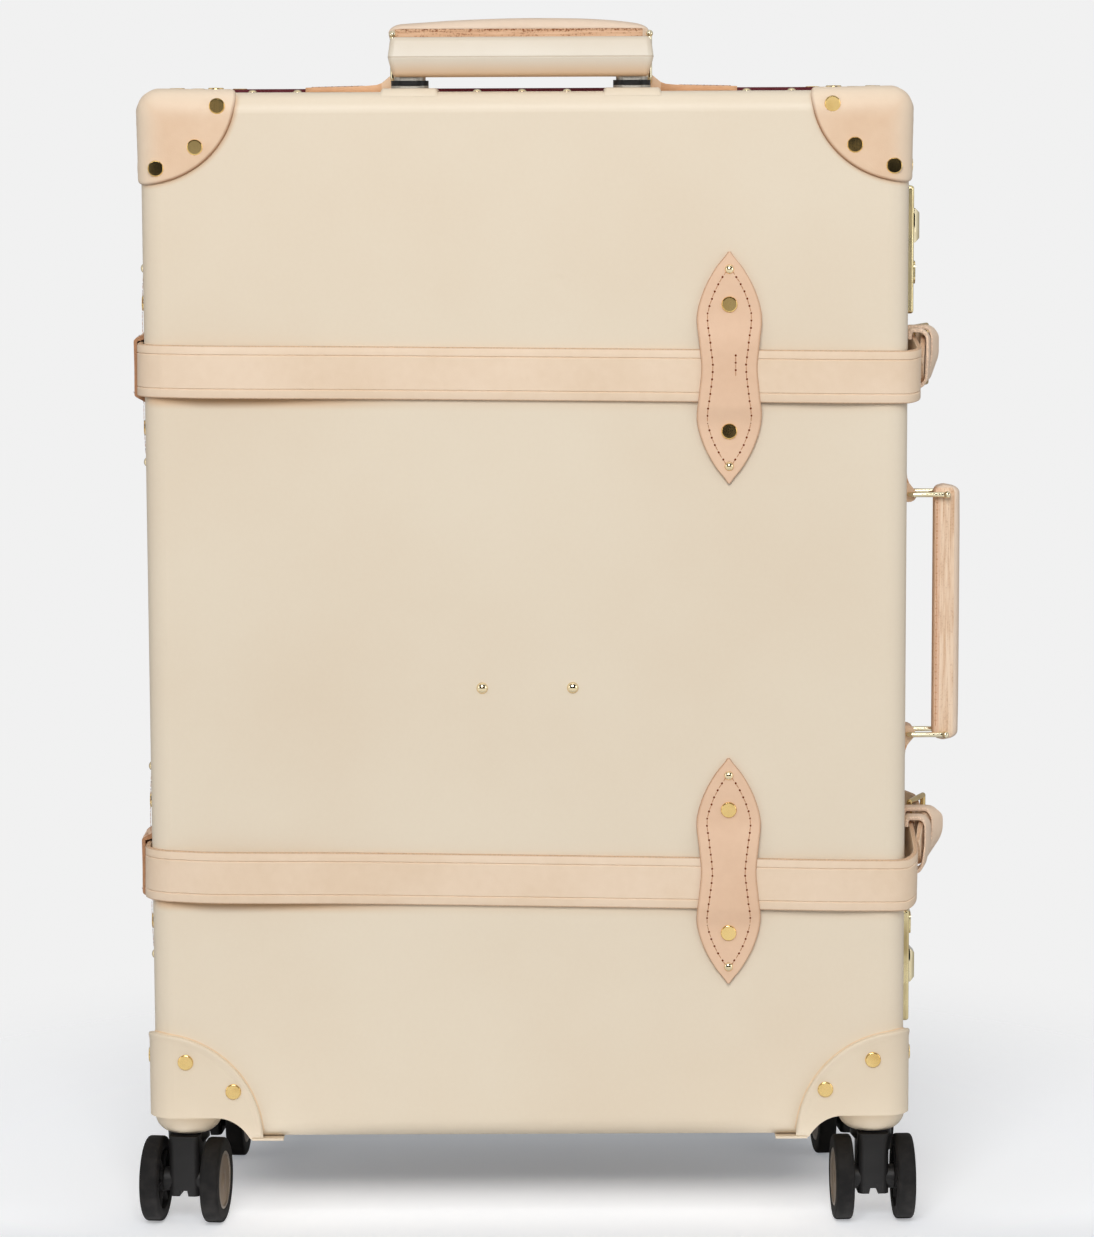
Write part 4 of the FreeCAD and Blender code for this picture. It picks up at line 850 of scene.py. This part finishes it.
# Chapes: leather straps folded round the wire rings of the two carry handles, one layer on the other.
# The raw edge of the fold shows from the front as a long wedge that rises to the ring.
chape_raw = rgb(208, 152, 108)
chape_hide = leather("chape_hide", rgb(234, 202, 170), rgb(220, 182, 148), chape_raw)
chape_edge = leather("chape_raw_edge", rgb(226, 180, 140), rgb(198, 144, 102), chape_raw, 0.0003)
chape_half, wedge_end, taper_start, taper_run = 10.5, 8.0, 54, 7
chape_outline = [(x, 0.1) for x in (-3, 8, 54, 56, 58, 60, 61)]
chape_outline += [(61, 3.2), (60, 3.35), (58, 3.4), (56, 3.45), (54, 3.5), (40, 3.7), (28, 4), (18, 4.4),
                  (11.5, 5), (8, 6.2), (5, 8.6), (2.5, 10.7), (0.5, 11.7), (-2, 11.5), (-4.2, 10.1),
                  (-5.4, 7.8), (-5.6, 5.6), (-4.9, 2.8)]
row_out, row_start, row_pitch, row_count, chape_wall = 7.6, 22, 4.5, 8, 3.5
top_y, side_y = -40.0, -58.0
chape_places = [turned(-x_way, z_way, y_way, (-91.5, top_y, top_z)),
                turned(x_way, z_way, y_way, (86, top_y, top_z)),
                turned(-z_way, x_way, y_way, (half_width, side_y, 341.5)),
                turned(z_way, x_way, y_way, (half_width, side_y, 510.5))]
chapes = hide_mesh()
chape_sewing = bmesh.new()
for place in chape_places:
    chape = bmesh.new()
    flank = chape.faces.new([chape.verts.new((x, h, -chape_half)) for x, h in chape_outline])
    made = bmesh.ops.extrude_face_region(chape, geom=[flank])["geom"]
    bmesh.ops.translate(chape, vec=(0, 0, 2 * chape_half),
                        verts=[item for item in made if isinstance(item, BMVert)])
    face_out(chape)
    bmesh.ops.bisect_plane(chape, geom=chape.verts[:] + chape.edges[:] + chape.faces[:],
                           plane_co=(wedge_end, 0, 0), plane_no=(1, 0, 0))
    for face in chape.faces:
        cut = abs(face.normal.z) > 0.7 and face.calc_center_median().x > wedge_end
        face.material_index = 1 if cut or face.normal.x > 0.9 else 0
    ease(chape, [edge for edge in chape.edges if abs(edge.verts[0].co.z - edge.verts[1].co.z) < 1
                 and edge.calc_face_angle(0) > 1.0], 0.5)
    bmesh.ops.triangulate(chape, faces=[face for face in chape.faces if len(face.verts) > 4])
    for vert in chape.verts:
        if vert.co.x > taper_start:
            vert.co.z *= 1 - 0.42 * ((vert.co.x - taper_start) / taper_run) ** 2
    put(chapes, chape, place)
    for side in (-1, 1):
        row = bmesh.new()
        for k in range(row_count):
            row_x = side * (row_out - 0.5 * max(0, k - 6))
            sew(row, row_x, row_start + k * row_pitch, chape_wall + 0.8 * (1 - k / row_count))
        put(chape_sewing, row, place @ turned(z_way, -y_way, x_way))
face_out(chapes)
make_piece("chapes", chapes, [chape_hide, chape_edge], "base", ["handle_chapes"], 50)
make_piece("chape_sewing", chape_sewing, [thread, awl_hole], "base")

# Carry handles: grips built up from layers of hide with a domed pale cover sewn along its edge.
# They hang on brass wire rings, which swing in the chapes and end in small balls.
ring_brass = brass("ring_brass", rgb(240, 230, 200), rgb(218, 202, 160), 0.08, 0.05)
ball_profile = [(0, 2.5), (0.9, 2.35), (1.7, 1.85), (2.25, 1.1), (2.45, 0.3), (2.3, -0.6), (1.8, -1.5),
                (0, -1.8)]
ball_inset, wire_half = 1.2, 1.8
for node in ("top_ring_left", "top_ring_right", "side_ring_low", "side_ring_high"):
    dress(ring_brass, node)
    low, high = box_mm(node)
    middle = (low + high) / 2
    ends = bmesh.new()
    for y, sense in ((low.y + ball_inset, -1), (high.y - ball_inset, 1)):
        end = (middle.x, y, high.z - wire_half) if "top" in node else (high.x - wire_half, y, middle.z)
        put(ends, lathe(ball_profile, 24), at(end, X=-sense * pi / 2))
    make_piece("balls_" + node, ends, [ring_brass], node, (), 60)


def raw_stack(name, long_way, pale, deep, speck, seam=None):
    finish = Finish(name, pale, shine=0.3)
    fibre, strand = finish.noise(850, 4, long_way), finish.noise(260, 3, long_way)
    worn = finish.noise(750, 3)
    skin = finish.mix(finish.fade(fibre * 0.6 + strand * 0.4, 0.34, 0.66), pale, deep)
    spots = finish.fade(worn + (fibre - 0.5) * 0.7, 0.56, 0.72) * speck
    if seam:
        ragged = finish.along("Z") + (finish.noise(300, 3) - 0.5) * 0.006
        spots = spots * 0.6 + finish.fade(ragged, seam - 0.0022, seam - 0.0002) * finish.fade(worn, 0.36, 0.6)
    finish.set(Base_Color=finish.mix(spots, skin, rgb(150, 92, 56)), Roughness=0.66 + worn * 0.2,
               Normal=finish.bump(fibre * 0.8 + worn * 0.5 - spots * 0.6, 0.0003))
    return finish


def grip(length, stack, dome, outline, core, nose, wrap):
    flank = [(-0.8, -stack, 1), (0, -stack + 0.8, 1), (0.2, -0.72 * stack, 1), (0.3, -0.35 * stack, 1),
             (0.1, -0.1, 1), (0.25, 0.15, 0), (0.2, 0.14 * dome, 0), (-0.2, 0.36 * dome, 0),
             (-1.3, 0.6 * dome, 0), (-3.4, 0.82 * dome, 0), (-6.2, 0.95 * dome, 0)]
    right = [(grip_half + d, -w, raw) for d, w, raw in flank]
    left = [(-d, w, raw) for d, w, raw in reversed(right)]
    ring = left[-1:] + right + [(0, -dome, 0)] + left[:-1]
    bm = sweep(ring, (0, 0), (1, 0), [(Vector((length, 0)), None, 0)], 0.9)
    raw = bm.verts.layers.float["raw_edge"]
    for face in bm.faces:
        inner = wrap < face.calc_center_median().x < length - wrap
        face.material_index = 1 if inner and all(vert[raw] > 0.5 for vert in face.verts) else 0
    for vert in bm.verts:
        vert[raw] = 0
        end = max(0, min(vert.co.x, length - vert.co.x))
        vert.co.z *= sqrt(1 - 0.6 * max(0, 1 - end / end_run) ** 2.2)
        if vert.co.y > 0:
            vert.co.y *= between(outline, vert.co.x) / dome
        open_share = sqrt(1 - (1 - min(1, end / nose)) ** 2)
        vert.co.y = core + (vert.co.y - core) * (nose_share + (1 - nose_share) * open_share)
    return bm


cover = leather("grip_cover", rgb(232, 211, 190), rgb(224, 199, 175), rgb(214, 173, 140))
top_stack = raw_stack("grip_stack_top", (0.05, 1, 1), rgb(236, 198, 164), rgb(214, 168, 132), 1.0, 0.8333)
side_stack = raw_stack("grip_stack_side", (1, 1, 0.05), rgb(246, 221, 195), rgb(218, 180, 146), 0.2)
grip_lip = raw_stack("grip_lip", (1, 1, 0.05), rgb(240, 206, 178), rgb(224, 184, 152), 0.15)
grip_half, lip_height, end_run, nose_share = 9.5, 9.6, 9, 0.12
top_outline = [(0, 2.6), (5, 3.2), (26, 4.6), (47, 5.9), (89, 7.2), (131, 6.9), (152, 5.8), (166, 4.4),
               (174, 3.2), (180.5, 2.4)]
side_outline = [(0, 4.0), (10, 4.2), (30, 4.4), (150, 4.4), (169.6, 4.2), (179.6, 4.0)]
top_grip = grip(180.5, 12.6, 7.2, top_outline, -2.6, 9.0, 4.5)
side_grip = grip(179.6, 13.6, 4.4, side_outline, -7.0, 5.5, 2.0)
for face in side_grip.faces:
    if face.material_index == 1 and face.calc_center_median().y < -lip_height:
        face.material_index = 2
top_place = turned(x_way, z_way, y_way, (-94.5, top_y, 833.3))
side_place = turned(z_way, x_way, y_way, (298.2, side_y, 337))
for node, bm, place, finishes in (("top_grip", top_grip, top_place, [cover, top_stack]),
                                  ("side_grip", side_grip, side_place, [cover, side_stack, grip_lip])):
    bmesh.ops.transform(bm, matrix=place, verts=bm.verts)
    face_out(bm)
    make_piece("grip_" + node[:-5], bm, finishes, node, [node], 50)
sewn_place, sewn_from, sewn_count = (286.0, side_y, 426.5), -78, 33
pale_thread = mottled("pale_thread", rgb(216, 168, 132), rgb(196, 146, 110), (700, 2), 0.8)
grip_sewing = bmesh.new()
for turn in (0, pi):
    row = bmesh.new()
    for k in range(sewn_count):
        sew(row, 0, sewn_from + k * stitch_pitch, grip_half + 0.1)
    put(grip_sewing, row, at(sewn_place, Z=turn))
make_piece("grip_sewing", grip_sewing, [pale_thread, pale_thread], "side_grip")

# Locks: cast brass bodies with a sliding knob on the near shell, and hinged hasps on the far shell.
# The castings are lightly polished and pale with age.
lock_brass = brass("pale_brass", rgb(232, 216, 168), rgb(190, 166, 112), 0.26)
catch_brass = brass("catch_brass", rgb(242, 230, 196), rgb(208, 188, 136), 0.06, 0.3)
dress(lock_brass, "lock_bodies", "hasp_mounts", "hasp_upper", "hasp_lower")
knob_depth, knob_slope, knob_rim, knob_dish, knob_edge = 5.2, 3.2, 1.6, -1.4, 0.25
for node in ("knob_upper", "knob_lower"):
    low, high = box_mm(node)
    low.x = high.x - knob_depth
    knob = block(high - low, (low + high) / 2)
    outer = [edge for edge in knob.edges if all(vert.co.x > high.x - 0.1 for vert in edge.verts)]
    ease(knob, outer, knob_slope, 1)
    face = max(knob.faces, key=lambda item: item.calc_center_median().x)
    bmesh.ops.inset_individual(knob, faces=[face], thickness=knob_rim, depth=knob_dish)
    ease(knob, knob.edges[:], knob_edge)
    make_piece("catch_" + node, knob, [catch_brass], node, [node], 25)

# Studio: a pale floor that fades into the backdrop, with a shadow painted on it under the case, and a large
# soft lamp above the front.
# The room behind the camera is dark, so the metal has something dark to reflect.
backdrop, room_light = 0.879, 0.33
scene = bpy.context.scene
scene.view_settings.view_transform = "Standard"
world = bpy.data.worlds.new("studio")
scene.world = world
world.use_nodes = True
surround = Nodes(world.node_tree, "Generated")
seen, mirrored = [surround.node("LightPath", output=ray) for ray in ("Is Camera Ray", "Is Glossy Ray")]
ahead, aloft = surround.along("Y"), surround.along("Z")
dark_room = surround.fade(aloft, -0.13, -0.05) * (1 - surround.fade(aloft, 0.82, 0.95))
dark_room = dark_room * surround.fade(0 - ahead, 0.0, 0.6)
room = 0.9 - dark_room * 0.89 - surround.fade(ahead, 0.0, 0.5) * 0.45
level = seen * backdrop + (1 - seen) * (mirrored * room + (1 - mirrored) * room_light)
background = world.node_tree.nodes["Background"]
surround.join(background.inputs["Color"], (1, 1, 1, 1))
surround.join(background.inputs["Strength"], level)

floor_bm = bmesh.new()
bmesh.ops.create_circle(floor_bm, cap_ends=True, segments=96, radius=4)
floor_paint = Finish("pale_floor", (0.77, 0.79, 0.815), shine=0.0, Roughness=0.9, Emission_Strength=1.0)
# Painted shadow: the floor glows to the camera only. The glow is even outside, brighter under the front
# overhang, and dim and bluish where the case's shadow falls.
beside, behind = abs(floor_paint.along("X")), floor_paint.along("Y")
in_shade = (1 - floor_paint.fade(beside, 0.17, 0.29)) * floor_paint.fade(behind, -0.045, 0.04)
painted_overhang_light = floor_paint.mix(floor_paint.fade(beside, 0.2, 0.28), (0.465, 0.468, 0.48), (0.35, 0.35, 0.355))
painted_floor_light = floor_paint.mix(floor_paint.fade(behind, -0.15, -0.07), (0.235, 0.235, 0.242), painted_overhang_light)
painted_floor_light = floor_paint.mix(in_shade, painted_floor_light, (0.125, 0.137, 0.155))
to_camera = floor_paint.node("LightPath", output="Is Camera Ray")
floor_paint.set(Emission_Color=floor_paint.mix(to_camera, (0, 0, 0), painted_floor_light),
                Alpha=1 - floor_paint.fade(floor_paint.away_from((0, 0.05, 0)), 0.3, 0.8))
floor = set_down("floor", floor_bm, [floor_paint])

lamps = [("key", (-0.2, -3.0, 2.3), (0, 0, 0.42), 1.6, 75), ("top", (0.2, -0.2, 3.4), (0, 0, 0.8), 2.6, 5)]
for word, side, watts in (("left", -1, 9), ("right", 1, 12)):
    caster_x, caster_y = 0.243 * side, -0.135
    lamps += [("fill_" + word, (2.6 * side, -1.6, 1.0), (0, 0, 0.45), 1.4, watts),
              ("bounce_" + word, (caster_x, caster_y, 0.004), (caster_x, caster_y, 1), 0.1, 0.085)]
for name, place, aim, size, watts in lamps:
    lamp = bpy.data.lights.new(name, "AREA")
    lamp.size = size
    lamp.energy = watts
    lamp_object = bpy.data.objects.new(name, lamp)
    lamp_object.location = place
    lamp_object.rotation_euler = (Vector(aim) - Vector(place)).to_track_quat("-Z", "Y").to_euler()
    lamp_object.visible_glossy = not name.startswith("bounce")
    scene.collection.objects.link(lamp_object)

focal_pixels, frame_height = 4130, 1237
camera = bpy.data.cameras.new("camera")
camera.lens = focal_pixels / frame_height * camera.sensor_width
camera_object = bpy.data.objects.new("camera", camera)
pitch, roll, camera_place = radians(7.175), radians(-0.236), (0.013567, -2.935, 0.7851)
raised = Vector((0, sin(pitch), cos(pitch)))
look = Vector((0, cos(pitch), -sin(pitch)))
right = x_way * cos(roll) + raised * sin(roll)
up = raised * cos(roll) - x_way * sin(roll)
camera_object.matrix_world = turned(right, up, -look, camera_place)
scene.collection.objects.link(camera_object)
scene.camera = camera_object
